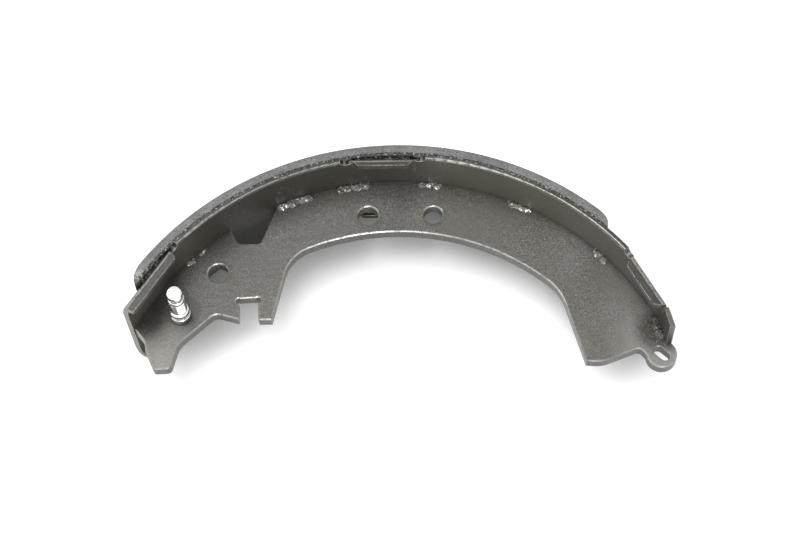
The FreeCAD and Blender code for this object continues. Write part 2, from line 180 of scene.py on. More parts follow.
class Sheet:
    """A node tree that is filled node by node.

    Attributes:
        STEP: Distance between neighbouring nodes in the editor.
    """

    STEP = 180.0

    def __init__(self, tree: bpy.types.NodeTree) -> None:
        """Starts on an empty tree.

        Args:
            tree: The tree to fill.
        """
        self.tree = tree
        tree.nodes.clear()

    def add(self, kind: str, **settings: object) -> bpy.types.Node:
        """Adds a node and sets its properties.

        Args:
            kind: The node's type name.
            **settings: Property names and values.

        Returns:
            The new node.
        """
        node = self.tree.nodes.new(kind)
        node.location = (self.STEP * len(self.tree.nodes), 0.0)
        for name, value in settings.items():
            setattr(node, name, value)
        return node

    def feed(self, source: Socket | float | Colour, target: Socket) -> None:
        """Feeds a socket from another socket, or sets its value.

        Args:
            source: An output socket, or a plain value.
            target: The input socket.
        """
        if isinstance(source, bpy.types.NodeSocket):
            self.tree.links.new(source, target)
        else:
            target.default_value = source

    def noise(
        self, place: Socket, scale: Socket | float, detail: float, roughness: float
    ) -> Socket:
        """Adds a noise texture.

        Args:
            place: The coordinates.
            scale: Features per metre.
            detail: Number of octaves.
            roughness: Weight of the fine octaves.

        Returns:
            The noise value, about 0 to 1.
        """
        node = self.add("ShaderNodeTexNoise", noise_dimensions="3D")
        self.feed(place, node.inputs["Vector"])
        self.feed(scale, node.inputs["Scale"])
        node.inputs["Detail"].default_value = detail
        node.inputs["Roughness"].default_value = roughness
        return node.outputs["Fac"]

    def span(self, value: Socket, low: Socket | float, high: Socket | float) -> Socket:
        """Spreads a range of a value over 0 to 1, smoothly.

        Args:
            value: The value.
            low: What becomes 0.
            high: What becomes 1.

        Returns:
            The spread value.
        """
        node = self.add("ShaderNodeMapRange", interpolation_type="SMOOTHSTEP")
        self.feed(value, node.inputs["Value"])
        self.feed(low, node.inputs["From Min"])
        self.feed(high, node.inputs["From Max"])
        return node.outputs["Result"]

    def between(self, value: Socket, low: float, high: float) -> Socket:
        """Turns a 0 to 1 value into one from low to high.

        Args:
            value: The value.
            low: The result at 0.
            high: The result at 1.

        Returns:
            The result.
        """
        node = self.add("ShaderNodeMapRange")
        self.feed(value, node.inputs["Value"])
        node.inputs["To Min"].default_value = low
        node.inputs["To Max"].default_value = high
        return node.outputs["Result"]

    def math(
        self, operation: str, first: Socket | float, second: Socket | float = 0.0
    ) -> Socket:
        """Adds a maths node.

        Args:
            operation: The node's operation.
            first: First value.
            second: Second value.

        Returns:
            The result.
        """
        node = self.add("ShaderNodeMath", operation=operation)
        self.feed(first, node.inputs[0])
        self.feed(second, node.inputs[1])
        return node.outputs[0]

    def times(self, first: Socket | float, *others: Socket | float) -> Socket:
        """Multiplies values.

        Args:
            first: First value.
            *others: What it is multiplied by.

        Returns:
            The product.
        """
        for other in others:
            first = self.math("MULTIPLY", first, other)
        return first

    def tint(
        self, colour: Socket, mask: Socket, amount: Socket | float, patch: Colour
    ) -> Socket:
        """Lays a patch's colour over another one.

        Args:
            colour: The colour below.
            mask: Where the patch is.
            amount: The patch's share there.
            patch: The patch's colour.

        Returns:
            The colour with the patch.
        """
        return self.mix(self.times(mask, amount), colour, patch)

    def inverse(self, value: Socket) -> Socket:
        """Gives 1 less a value."""
        return self.math("SUBTRACT", 1.0, value)

    def vector(
        self, operation: str, first: Socket, second: Socket | Vector | tuple[float, float, float]
    ) -> bpy.types.Node:
        """Adds a vector maths node.

        Args:
            operation: The node's operation.
            first: First vector.
            second: Second vector.

        Returns:
            The node.
        """
        node = self.add("ShaderNodeVectorMath", operation=operation)
        self.feed(first, node.inputs[0])
        self.feed(second, node.inputs[1])
        return node

    def axis(self, vector: Socket, name: str) -> Socket:
        """Gives one part of a vector.

        Args:
            vector: The vector.
            name: X, Y or Z.

        Returns:
            The part.
        """
        node = self.add("ShaderNodeSeparateXYZ")
        self.feed(vector, node.inputs[0])
        return node.outputs[name]

    def mix(self, share: Socket | float, first: Socket | Colour, second: Socket | Colour) -> Socket:
        """Mixes two colours.

        Args:
            share: Share of the second colour.
            first: First colour.
            second: Second colour.

        Returns:
            The mixed colour.
        """
        node = self.add("ShaderNodeMix", data_type="RGBA", blend_type="MIX")
        colours = [socket for socket in node.inputs if socket.type == "RGBA"]
        self.feed(share, node.inputs["Factor"])
        self.feed(first, colours[0])
        self.feed(second, colours[1])
        return [socket for socket in node.outputs if socket.type == "RGBA"][0]

    def group(
        self, tree: bpy.types.NodeTree, **values: Socket | float | Vector
    ) -> bpy.types.Node:
        """Adds a node group and feeds its inputs.

        Args:
            tree: The group's tree.
            **values: Input names, with _ for a space, and what feeds them.

        Returns:
            The group node.
        """
        node = self.add("ShaderNodeGroup", node_tree=tree)
        for name, value in values.items():
            self.feed(value, node.inputs[name.replace("_", " ")])
        return node


def new_group(
    name: str, inputs: dict[str, str], outputs: tuple[str, ...]
) -> tuple[Sheet, bpy.types.NodeOutputs, bpy.types.NodeInputs]:
    """Makes an empty shader node group whose outputs are plain values.

    Args:
        name: The group's name.
        inputs: Input names and their socket types.
        outputs: Output names.

    Returns:
        The sheet, the sockets that bring the inputs and those that take the outputs.
    """
    tree = bpy.data.node_groups.new(name, "ShaderNodeTree")
    for label, kind in inputs.items():
        tree.interface.new_socket(name=label, in_out="INPUT", socket_type=kind)
    for label in outputs:
        tree.interface.new_socket(name=label, in_out="OUTPUT", socket_type="NodeSocketFloat")
    sheet = Sheet(tree)
    return sheet, sheet.add("NodeGroupInput").outputs, sheet.add("NodeGroupOutput").inputs


class EffectGroups:
    """The effects that several finishes use, each a shader node group built once.

    Attributes:
        SAMPLES: Rays of the nodes that look round a point.
        DOT_SHIFT: How far the dark dots' pattern lies from the pale dots'.
        DOT_LEVEL: Noise level of a dot's rim at no cover, and how far full cover lowers it.
        DOT_BLUR: Width of a dot's rim.
        EDGE_REACH: Width of the band along an edge that can wear, in metres.
        EDGE_TURN: Turns of the normal there that count as none and as full.
        EDGE_PATCHES: Noise levels between which wear on edges sets in.
        CREST_PATCHES: Noise levels between which wear and painted highlight on crests set in.
        CREST_BLUR: Share of the slope range over which crest wear and painted highlight set in.
        RAGGED_SCALE: Features per metre of the rim of painted shade in a corner.
        RAGGED: How far noise shifts that rim.
        TIGHT: How much finer the fine grain is than the broad lumps.
        STAIN_LEVEL: Noise level of a stain's rim at no cover, and how far full cover lowers it.
        STAIN_BLUR: Width of a stain's rim.
        RING_SCALE: Features per metre of a ring's rim.
        RING_WANDER: How far a ring's rim wanders, in metres.
        ZONE_SPAN: Noise levels between which a zone turns from quiet to rough.
        QUIET: Share of the mottling that a quiet zone keeps.
        LIGHT_SPAN: Noise levels between which the light mottling sets in.
        DARK_SPAN: Noise levels between which the dark mottling fades.
    """

    SAMPLES = 6
    DOT_SHIFT = (3.7, 1.9, 5.3)
    DOT_LEVEL = (0.68, 0.2)
    DOT_BLUR = 0.1
    EDGE_REACH = 0.6 * MM
    EDGE_TURN = (0.015, 0.14)
    EDGE_PATCHES = (0.34, 0.56)
    CREST_PATCHES = (0.3, 0.52)
    CREST_BLUR = 0.3
    RAGGED_SCALE = 260.0
    RAGGED = 0.25
    TIGHT = 5.0
    STAIN_LEVEL = (0.7, 0.4)
    STAIN_BLUR = 0.22
    RING_SCALE = 420.0
    RING_WANDER = 1.2 * MM
    ZONE_SPAN = (0.36, 0.6)
    QUIET = 0.2
    LIGHT_SPAN = (0.51, 0.64)
    DARK_SPAN = (0.37, 0.49)

    def __init__(self) -> None:
        """Builds every group."""
        self.speckle = self._speckle()
        self.edge_wear = self._edge_wear()
        self.crest_wear_and_highlight = self._crest_wear_and_highlight()
        self.hollow_shade = self._hollow_shade()
        self.grain = self._grain()
        self.stain = self._stain()
        self.ring = self._ring()
        self.mottle = self._mottle()

    @staticmethod
    def _inputs(*names: str) -> dict[str, str]:
        """Gives the socket types of a place and of named values.

        Args:
            *names: The values' names. Axis is a vector.

        Returns:
            Input names and their socket types.
        """
        kinds = {"Place": "NodeSocketVector"}
        for name in names:
            kinds[name] = "NodeSocketVector" if name == "Axis" else "NodeSocketFloat"
        return kinds

    def _speckle(self) -> bpy.types.NodeTree:
        """Builds the fine speckle: pale and dark dots of mixed sizes.

        Returns:
            The group's tree.
        """
        inputs = self._inputs("Scale", "Cover")
        sheet, given, result = new_group("speckle", inputs, ("Pale", "Dark"))
        fine = sheet.noise(given["Place"], given["Scale"], 2.0, 0.6)
        shifted = sheet.vector("ADD", given["Place"], self.DOT_SHIFT).outputs[0]
        other = sheet.noise(shifted, given["Scale"], 2.0, 0.6)
        bare, drop = self.DOT_LEVEL
        low = sheet.math("SUBTRACT", bare, sheet.times(given["Cover"], drop))
        high = sheet.math("ADD", low, self.DOT_BLUR)
        sheet.feed(sheet.span(fine, low, high), result["Pale"])
        sheet.feed(sheet.span(other, low, high), result["Dark"])
        return sheet.tree

    def _edge_wear(self) -> bpy.types.NodeTree:
        """Builds the wear along sharp edges, broken up by noise.

        Returns:
            The group's tree.
        """
        sheet, given, result = new_group("edge_wear", self._inputs("Breakup", "Amount"), ("Mask",))
        rounded = sheet.add("ShaderNodeBevel", samples=self.SAMPLES)
        rounded.inputs["Radius"].default_value = self.EDGE_REACH
        flat = sheet.add("ShaderNodeNewGeometry").outputs["True Normal"]
        facing = sheet.vector("DOT_PRODUCT", rounded.outputs["Normal"], flat)
        edge = sheet.span(sheet.inverse(facing.outputs["Value"]), *self.EDGE_TURN)
        patchy = sheet.noise(given["Place"], given["Breakup"], 4.0, 0.65)
        patches = sheet.span(patchy, *self.EDGE_PATCHES)
        sheet.feed(sheet.times(edge, patches, given["Amount"]), result["Mask"])
        return sheet.tree

    def _crest_wear_and_highlight(self) -> bpy.types.NodeTree:
        """Builds the wear on slopes, which also paints a highlight line there: where the surface
        starts to turn away from level.

        Returns:
            The group's tree.
        """
        inputs = self._inputs("Level", "Steep", "Breakup", "Amount")
        sheet, given, result = new_group("crest_wear_and_highlight", inputs, ("Mask",))
        normal = sheet.add("ShaderNodeNewGeometry").outputs["Normal"]
        level = sheet.math("ABSOLUTE", sheet.axis(normal, "Z"))
        slopes = sheet.math("SUBTRACT", given["Level"], given["Steep"])
        blend = sheet.times(slopes, self.CREST_BLUR)
        above = sheet.span(level, given["Steep"], sheet.math("ADD", given["Steep"], blend))
        limit = sheet.math("SUBTRACT", given["Level"], sheet.times(blend, self.CREST_BLUR))
        below = sheet.inverse(sheet.span(level, limit, given["Level"]))
        patchy = sheet.noise(given["Place"], given["Breakup"], 4.0, 0.65)
        patches = sheet.span(patchy, *self.CREST_PATCHES)
        sheet.feed(sheet.times(above, below, patches, given["Amount"]), result["Mask"])
        return sheet.tree

    def _hollow_shade(self) -> bpy.types.NodeTree:
        """Builds painted shade in inner corners and hollows, from how much sky they hide, with a
        ragged rim.

        Returns:
            The group's tree.
        """
        sheet, given, result = new_group("hollow_shade", self._inputs("Reach", "Low", "High"), ("Mask",))
        open_sky = sheet.add("ShaderNodeAmbientOcclusion", samples=self.SAMPLES)
        sheet.feed(given["Reach"], open_sky.inputs["Distance"])
        # Painted shade: the share of sky that the surroundings hide.
        hidden = sheet.inverse(open_sky.outputs["AO"])
        uneven = sheet.noise(given["Place"], self.RAGGED_SCALE, 4.0, 0.6)
        ragged = sheet.times(sheet.math("SUBTRACT", uneven, 0.5), self.RAGGED)
        shifted = sheet.math("ADD", hidden, ragged)
        sheet.feed(sheet.span(shifted, given["Low"], given["High"]), result["Mask"])
        return sheet.tree

    def _grain(self) -> bpy.types.NodeTree:
        """Builds the height of a rough surface: broad lumps with fine grain on them.

        Returns:
            The group's tree.
        """
        sheet, given, result = new_group("grain", self._inputs("Scale", "Fine"), ("Height",))
        broad = sheet.noise(given["Place"], given["Scale"], 2.0, 0.5)
        fine = sheet.noise(given["Place"], sheet.times(given["Scale"], self.TIGHT), 3.0, 0.6)
        height = sheet.math("ADD", broad, sheet.times(fine, given["Fine"]))
        sheet.feed(height, result["Height"])
        return sheet.tree

    def _stain(self) -> bpy.types.NodeTree:
        """Builds large soft patches with a ragged rim.

        Returns:
            The group's tree.
        """
        sheet, given, result = new_group("stain", self._inputs("Scale", "Cover"), ("Mask",))
        broad = sheet.noise(given["Place"], given["Scale"], 5.0, 0.55)
        bare, drop = self.STAIN_LEVEL
        low = sheet.math("SUBTRACT", bare, sheet.times(given["Cover"], drop))
        high = sheet.math("ADD", low, self.STAIN_BLUR)
        sheet.feed(sheet.span(broad, low, high), result["Mask"])
        return sheet.tree

    def _ring(self) -> bpy.types.NodeTree:
        """Builds a soft ragged ring about an upright axis.

        Returns:
            The group's tree.
        """
        sheet, given, result = new_group("ring", self._inputs("Axis", "Inner", "Outer"), ("Mask",))
        away = sheet.vector("SUBTRACT", given["Place"], given["Axis"]).outputs[0]
        flat = sheet.vector("MULTIPLY", away, (1.0, 1.0, 0.0)).outputs[0]
        reach = sheet.add("ShaderNodeVectorMath", operation="LENGTH")
        sheet.feed(flat, reach.inputs[0])
        ragged = sheet.noise(given["Place"], self.RING_SCALE, 4.0, 0.65)
        wander = sheet.between(ragged, -self.RING_WANDER, self.RING_WANDER)
        radius = sheet.math("ADD", reach.outputs["Value"], wander)
        inside = sheet.inverse(sheet.span(radius, given["Inner"], given["Outer"]))
        sheet.feed(inside, result["Mask"])
        return sheet.tree

    def _mottle(self) -> bpy.types.NodeTree:
        """Builds a restless grain in which broad zones are quiet and others are rough.

        Returns:
            The group's tree.
        """
        sheet, given, result = new_group("mottle", self._inputs("Zone", "Grain"), ("Light", "Dark"))
        zone = sheet.span(sheet.noise(given["Place"], given["Zone"], 4.0, 0.6), *self.ZONE_SPAN)
        strength = sheet.between(zone, self.QUIET, 1.0)
        coarse = sheet.noise(given["Place"], given["Grain"], 5.0, 0.75)
        light = sheet.span(coarse, *self.LIGHT_SPAN)
        dark = sheet.inverse(sheet.span(coarse, *self.DARK_SPAN))
        sheet.feed(sheet.times(light, strength), result["Light"])
        sheet.feed(sheet.times(dark, strength), result["Dark"])
        return sheet.tree


@dataclass(frozen=True)
class Ring:
    """A soft ragged patch about an upright axis, as a finish lays it over its colour.

    Attributes:
        axis: A point on the axis.
        inner: Radius where the patch starts to fade, in metres.
        outer: Radius where it ends.
        strength: Its share at the middle.
    """

    axis: Vector
    inner: float
    outer: float
    strength: float

    def mask(self, sheet: Sheet, place: Socket, effects: EffectGroups) -> Socket:
        """Gives where the patch is, and its share there.

        Args:
            sheet: The material's sheet.
            place: Object coordinates.
            effects: The shared effects.

        Returns:
            The mask.
        """
        ring = sheet.group(
            effects.ring, Place=place, Axis=self.axis, Inner=self.inner, Outer=self.outer
        )
        return sheet.times(ring.outputs["Mask"], self.strength)


def new_material(name: str) -> tuple[bpy.types.Material, Sheet, Socket, bpy.types.Node]:
    """Makes a material with object coordinates and a Principled shader.

    Args:
        name: The material's name.

    Returns:
        The material, its sheet, the object coordinates and the shader.
    """
    material = bpy.data.materials.new(name)
    material.use_nodes = True
    sheet = Sheet(material.node_tree)
    place = sheet.add("ShaderNodeTexCoord").outputs["Object"]
    shader = sheet.add("ShaderNodeBsdfPrincipled")
    output = sheet.add("ShaderNodeOutputMaterial")
    sheet.feed(shader.outputs["BSDF"], output.inputs["Surface"])
    return material, sheet, place, shader


def bumped(
    sheet: Sheet, height: Socket, distance: float, shader: bpy.types.Node, corner: float = 0.0
) -> None:
    """Feeds a height to a shader's normal, over corners that look rounded.

    Args:
        sheet: The material's sheet.
        height: The height, 0 to 1.
        distance: How far the height reaches, in metres.
        shader: The shader.
        corner: Radius that sharp corners look rounded to, in metres.
    """
    bump = sheet.add("ShaderNodeBump")
    bump.inputs["Distance"].default_value = distance
    sheet.feed(height, bump.inputs["Height"])
    if corner > 0.0:
        rounded = sheet.add("ShaderNodeBevel", samples=EffectGroups.SAMPLES)
        rounded.inputs["Radius"].default_value = corner
        sheet.feed(rounded.outputs["Normal"], bump.inputs["Normal"])
    sheet.feed(bump.outputs["Normal"], shader.inputs["Normal"])


@dataclass(frozen=True)
class CoatedSteel:
    """Grey coating on pressed steel: speckled, stained, bare where edges wear, with painted shade
    and painted light.

    Attributes:
        name: The material's name.
        base: Main colour.
        milky: Colour of the paler zones: partly the coating's own tone, partly painted sheen.
        wear_and_painted_light: Colour of the painted light on the open ends.
        pale: Colour of the pale specks.
        dark: Colour of the dark specks.
        rust: Colour of the brown stains.
        grime_and_shade: Colour of the painted shade in corners, of the dark rings and of the
            blackened rims.
        bare: Colour of bare steel where edges wear through, and of the painted highlight along
            crests.
        ends: How far the open ends, low in Y, take that pale colour of painted light.
        shear_and_shade: Colour of the upright cut faces: partly their own darker colour, partly
            painted shade.
        shear_share: How far upright faces take that colour.
        speckle_scale: Specks per metre.
        speckle_cover: How much of the surface the specks cover.
        blotch: How strong the dark blotches are.
        mottle: How strong the restless grain is on upright and on level faces.
        level_dark: How far level faces take the dark colour.
        grain: Grains per metre.
        rust_cover: How much of the surface the brown stains cover.
        rim: How far the strip's narrow rims are blackened.
        rings: Dark rings: dirty patches, soot and painted shade.
        wear: How far sharp edges wear through to bare steel.
        crest: Slope limits of the crests that wear and carry a painted highlight, as the normal's
            upright part.
        crest_wear_and_highlight: How far the crests wear and are painted with a highlight.
        crest_fade: How far that wear and painted highlight fade at the open ends, low in Y.
        corner_shade_reach: How far painted shade reaches out of a corner, in metres.
        roughness: Roughness of the coating.
        MILK: Scale and cover of the paler zones, partly painted sheen.
        BLOTCHES: Scale and cover of the dark blotches.
        RUST: Scale of the rust stains, and their share.
        LEVEL_SPAN: Upward parts of the normal from which a face starts to count, and fully counts,
            as level.
        ZONE_SCALE: Zones of the restless grain per metre.
        ENDS_LOW: Y from which the open ends start to take painted light, and take it fully.
        ENDS_SIDE: The same for the distance from the middle in X.
        ENDS_WANDER: How far that rim wanders, in metres.
        RIM_BAND: How far inside the table's edge the black rim starts, and is full.
        DOT_ZONES: Noise levels between which the speckle goes from sparse to full.
        SPARSE: Share of the speckle where it is sparse.
        CORNERS: Painted shade in corners: times the reach, mask at which it is full, and share.
        CORNER_LOW: Mask at which that painted shade starts.
        EDGE_BREAKUP: Features per metre of worn edges.
        CREST_BREAKUP: Features per metre of the crests' wear and painted highlight.
        CREST_FADE: Y from which the crests' wear and painted highlight start to fade, and are fully
            faded.
    """

    MILK = (24.0, 0.5)
    BLOTCHES = (70.0, 0.45)
    RUST = (75.0, 0.6)
    LEVEL_SPAN = (0.1, 0.6)
    ZONE_SCALE = 30.0
    ENDS_LOW = (0.005, -0.045)
    ENDS_SIDE = (0.079, 0.1)
    ENDS_WANDER = 0.012
    RIM_BAND = (0.3 * MM, 0.05 * MM)
    DOT_ZONES = (0.35, 0.62)
    SPARSE = 0.35
    CORNERS = ((1.0, 0.6, 0.75), (4.0, 0.85, 0.6))
    CORNER_LOW = 0.22
    EDGE_BREAKUP = 800.0
    CREST_BREAKUP = 650.0
    CREST_FADE = (-0.008, -0.036)

    name: str
    base: Colour
    milky: Colour
    pale: Colour
    dark: Colour
    rust: Colour
    wear_and_painted_light: Colour = (0.29, 0.284, 0.262, 1.0)
    grime_and_shade: Colour = (0.03, 0.028, 0.022, 1.0)
    bare: Colour = (0.6, 0.595, 0.57, 1.0)
    ends: float = 0.0
    shear_and_shade: Colour = (0.24, 0.236, 0.22, 1.0)
    shear_share: float = 0.0
    speckle_scale: float = 1500.0
    speckle_cover: float = 0.5
    blotch: float = 0.3
    mottle: tuple[float, float] = (0.15, 0.5)
    level_dark: float = 0.0
    grain: float = 1250.0
    rust_cover: float = 0.2
    rim: float = 0.0
    rings: tuple[Ring, ...] = ()
    wear: float = 0.5
    crest: tuple[float, float] = (0.97, 0.45)
    crest_wear_and_highlight: float = 0.45
    crest_fade: float = 0.0
    corner_shade_reach: float = 5.0 * MM
    roughness: float = 0.3

    def build(self, effects: EffectGroups) -> bpy.types.Material:
        """Builds the material.

        Args:
            effects: The shared effects.

        Returns:
            The material.
        """
        material, sheet, place, shader = new_material(self.name)
        colour = self._coating(sheet, place, effects)
        # Painted shade: corners and hollows darken by how much sky they hide, at two reaches.
        for times, high, amount in self.CORNERS:
            reach = times * self.corner_shade_reach
            shade_in_hollows = sheet.group(
                effects.hollow_shade, Place=place, Reach=reach, Low=self.CORNER_LOW, High=high
            )
            colour = sheet.tint(colour, shade_in_hollows.outputs["Mask"], amount, self.grime_and_shade)
        wear_and_painted_light = self._wear_and_painted_highlight(sheet, place, effects)
        colour = sheet.mix(wear_and_painted_light, colour, self.bare)
        sheet.feed(colour, shader.inputs["Base Color"])
        sheet.feed(sheet.times(wear_and_painted_light, 0.8), shader.inputs["Metallic"])
        patchy = sheet.noise(place, 60.0, 4.0, 0.6)
        rough = sheet.between(patchy, self.roughness - 0.1, self.roughness + 0.12)
        polish = sheet.times(wear_and_painted_light, -0.12)
        sheet.feed(sheet.math("ADD", rough, polish), shader.inputs["Roughness"])
        grain = sheet.group(effects.grain, Place=place, Scale=360.0, Fine=0.6)
        bumped(sheet, grain.outputs["Height"], 0.11 * MM, shader, 0.3 * MM)
        return material

    def _coating(self, sheet: Sheet, place: Socket, effects: EffectGroups) -> Socket:
        """Mixes the coating's colours, painted shade and painted light among them.

        Args:
            sheet: The material's sheet.
            place: Object coordinates.
            effects: The shared effects.

        Returns:
            The colour.
        """
        # Paler zones at random: partly the coating's own tone, partly painted sheen.
        scale, cover = self.MILK
        milk = sheet.group(effects.stain, Place=place, Scale=scale, Cover=cover)
        colour = sheet.mix(milk.outputs["Mask"], self.base, self.milky)
        normal = sheet.add("ShaderNodeNewGeometry").outputs["Normal"]
        level = sheet.span(sheet.math("ABSOLUTE", sheet.axis(normal, "Z")), *self.LEVEL_SPAN)
        # Upright faces darken: partly the cut faces' own colour, partly painted shade.
        colour = sheet.tint(colour, sheet.inverse(level), self.shear_share, self.shear_and_shade)
        colour = sheet.tint(colour, level, self.level_dark, self.dark)
        scale, cover = self.BLOTCHES
        blotch = sheet.group(effects.stain, Place=place, Scale=scale, Cover=cover)
        colour = sheet.tint(colour, blotch.outputs["Mask"], self.blotch, self.dark)
        restless = sheet.group(effects.mottle, Place=place, Zone=self.ZONE_SCALE, Grain=self.grain)
        strength = sheet.between(level, *self.mottle)
        colour = sheet.tint(colour, restless.outputs["Light"], strength, self.pale)
        colour = sheet.tint(colour, restless.outputs["Dark"], strength, self.dark)
        # Painted light: the level faces of the open ends, away from the table's wall, are painted
        # paler.
        if self.ends > 0.0:
            rubbed_and_lit = sheet.times(self._open_ends(sheet, place), level)
            colour = sheet.tint(colour, rubbed_and_lit, self.ends, self.wear_and_painted_light)
        if self.rim > 0.0:
            colour = sheet.tint(colour, self._rim_band(sheet, place), self.rim, self.grime_and_shade)
        for ring in self.rings:
            colour = sheet.mix(ring.mask(sheet, place, effects), colour, self.grime_and_shade)
        zones = sheet.span(sheet.noise(place, 45.0, 3.0, 0.55), *self.DOT_ZONES)
        cover = sheet.times(sheet.between(zones, self.SPARSE, 1.0), self.speckle_cover)
        dots = sheet.group(effects.speckle, Place=place, Scale=self.speckle_scale, Cover=cover)
        colour = sheet.mix(dots.outputs["Pale"], colour, self.pale)
        colour = sheet.mix(dots.outputs["Dark"], colour, self.dark)
        scale, amount = self.RUST
        rust = sheet.group(effects.stain, Place=place, Scale=scale, Cover=self.rust_cover)
        return sheet.tint(colour, rust.outputs["Mask"], amount, self.rust)

    def _open_ends(self, sheet: Sheet, place: Socket) -> Socket:
        """Gives where the shoe's open ends are, low in Y and far out in X.

        Args:
            sheet: The material's sheet.
            place: Object coordinates.

        Returns:
            The mask.
        """
        ragged = sheet.noise(place, 30.0, 3.0, 0.5)
        wander = sheet.between(ragged, -self.ENDS_WANDER, self.ENDS_WANDER)
        low = sheet.span(sheet.math("ADD", sheet.axis(place, "Y"), wander), *self.ENDS_LOW)
        side = sheet.span(sheet.math("ABSOLUTE", sheet.axis(place, "X")), *self.ENDS_SIDE)
        return sheet.times(low, side)

    def _rim_band(self, sheet: Sheet, place: Socket) -> Socket:
        """Gives where the table's upper and lower edges are black, in patches.

        Args:
            sheet: The material's sheet.
            place: Object coordinates.

        Returns:
            The mask.
        """
        rise = sheet.math("SUBTRACT", sheet.axis(place, "Z"), SHOE.middle)
        start, full = self.RIM_BAND
        band = sheet.span(
            sheet.math("ABSOLUTE", rise), SHOE.half_width - start, SHOE.half_width - full
        )
        patchy = sheet.span(sheet.noise(place, 500.0, 4.0, 0.7), 0.35, 0.6)
        return sheet.times(band, sheet.between(patchy, 0.55, 1.0))

    def _wear_and_painted_highlight(self, sheet: Sheet, place: Socket, effects: EffectGroups) -> Socket:
        """Gives where the coating wears through to bare steel, with a painted highlight along the
        crests.

        Args:
            sheet: The material's sheet.
            place: Object coordinates.
            effects: The shared effects.

        Returns:
            The mask.
        """
        edges = sheet.group(
            effects.edge_wear, Place=place, Breakup=self.EDGE_BREAKUP, Amount=self.wear
        )
        crests = sheet.group(
            effects.crest_wear_and_highlight,
            Place=place,
            Level=self.crest[0],
            Steep=self.crest[1],
            Breakup=self.CREST_BREAKUP,
            Amount=self.crest_wear_and_highlight,
        )
        # Painted highlight: the crest line fades at the open ends, low in Y.
        low = sheet.span(sheet.axis(place, "Y"), *self.CREST_FADE)
        kept = sheet.between(low, 1.0, 1.0 - self.crest_fade)
        faded = sheet.times(crests.outputs["Mask"], kept)
        return sheet.math("MAXIMUM", edges.outputs["Mask"], faded)


@dataclass(frozen=True)
class FrictionCompound:
    """Moulded friction material: mid grey with pale chips, dark grit and small pits.

    Attributes:
        name: The material's name.
        base: Main colour.
        shade: Second colour of the broad mottling.
        chip: Colour of the pale chips.
        grit: Colour of the dark grit, and of the painted shade in hollows.
        dust: Colour of the pale corners that rubbing leaves.
        chalk: Colour of the scuff at the left end.
        scuff: Where that scuff is.
        tip: Where the dark tip beside it is.
    """

    name: str = "friction_compound"
    base: Colour = (0.225, 0.225, 0.22, 1.0)
    shade: Colour = (0.18, 0.18, 0.176, 1.0)
    chip: Colour = (0.36, 0.36, 0.345, 1.0)
    grit: Colour = (0.09, 0.09, 0.087, 1.0)
    dust: Colour = (0.4, 0.4, 0.385, 1.0)
    chalk: Colour = (0.45, 0.45, 0.435, 1.0)
    scuff: Ring = Ring(SHOE.at(SHOE.drum - 3.2 * MM, 144.2), 0.8 * MM, 3.4 * MM, 1.0)
    tip: Ring = Ring(SHOE.at(SHOE.drum - 1.2 * MM, 146.2), 2.8 * MM, 4.8 * MM, 0.65)

    def build(self, effects: EffectGroups) -> bpy.types.Material:
        """Builds the material.

        Args:
            effects: The shared effects.

        Returns:
            The material.
        """
        material, sheet, place, shader = new_material(self.name)
        broad = sheet.span(sheet.noise(place, 160.0, 4.0, 0.6), 0.35, 0.65)
        colour = sheet.mix(broad, self.base, self.shade)
        dots = sheet.group(effects.speckle, Place=place, Scale=1300.0, Cover=0.55)
        colour = sheet.mix(dots.outputs["Dark"], colour, self.grit)
        colour = sheet.mix(dots.outputs["Pale"], colour, self.chip)
        rubbed_and_lit = sheet.group(effects.edge_wear, Place=place, Breakup=350.0, Amount=0.55)
        colour = sheet.mix(rubbed_and_lit.outputs["Mask"], colour, self.dust)
        colour = sheet.mix(self.tip.mask(sheet, place, effects), colour, self.grit)
        chalky = sheet.span(sheet.noise(place, 1100.0, 4.0, 0.75), 0.4, 0.56)
        colour = sheet.tint(colour, self.scuff.mask(sheet, place, effects), chalky, self.chalk)
        # Painted shade: hollows and corners darken by how much sky they hide.
        shade_in_hollows = sheet.group(effects.hollow_shade, Place=place, Reach=2.5 * MM, Low=0.35, High=0.75)
        colour = sheet.tint(colour, shade_in_hollows.outputs["Mask"], 0.7, self.grit)
        sheet.feed(colour, shader.inputs["Base Color"])
        sheet.feed(sheet.between(broad, 0.78, 0.92), shader.inputs["Roughness"])
        grain = sheet.group(effects.grain, Place=place, Scale=500.0, Fine=0.6)
        height = sheet.math("ADD", grain.outputs["Height"], sheet.times(dots.outputs["Dark"], -0.8))
        bumped(sheet, height, 0.14 * MM, shader, 0.35 * MM)
        return material


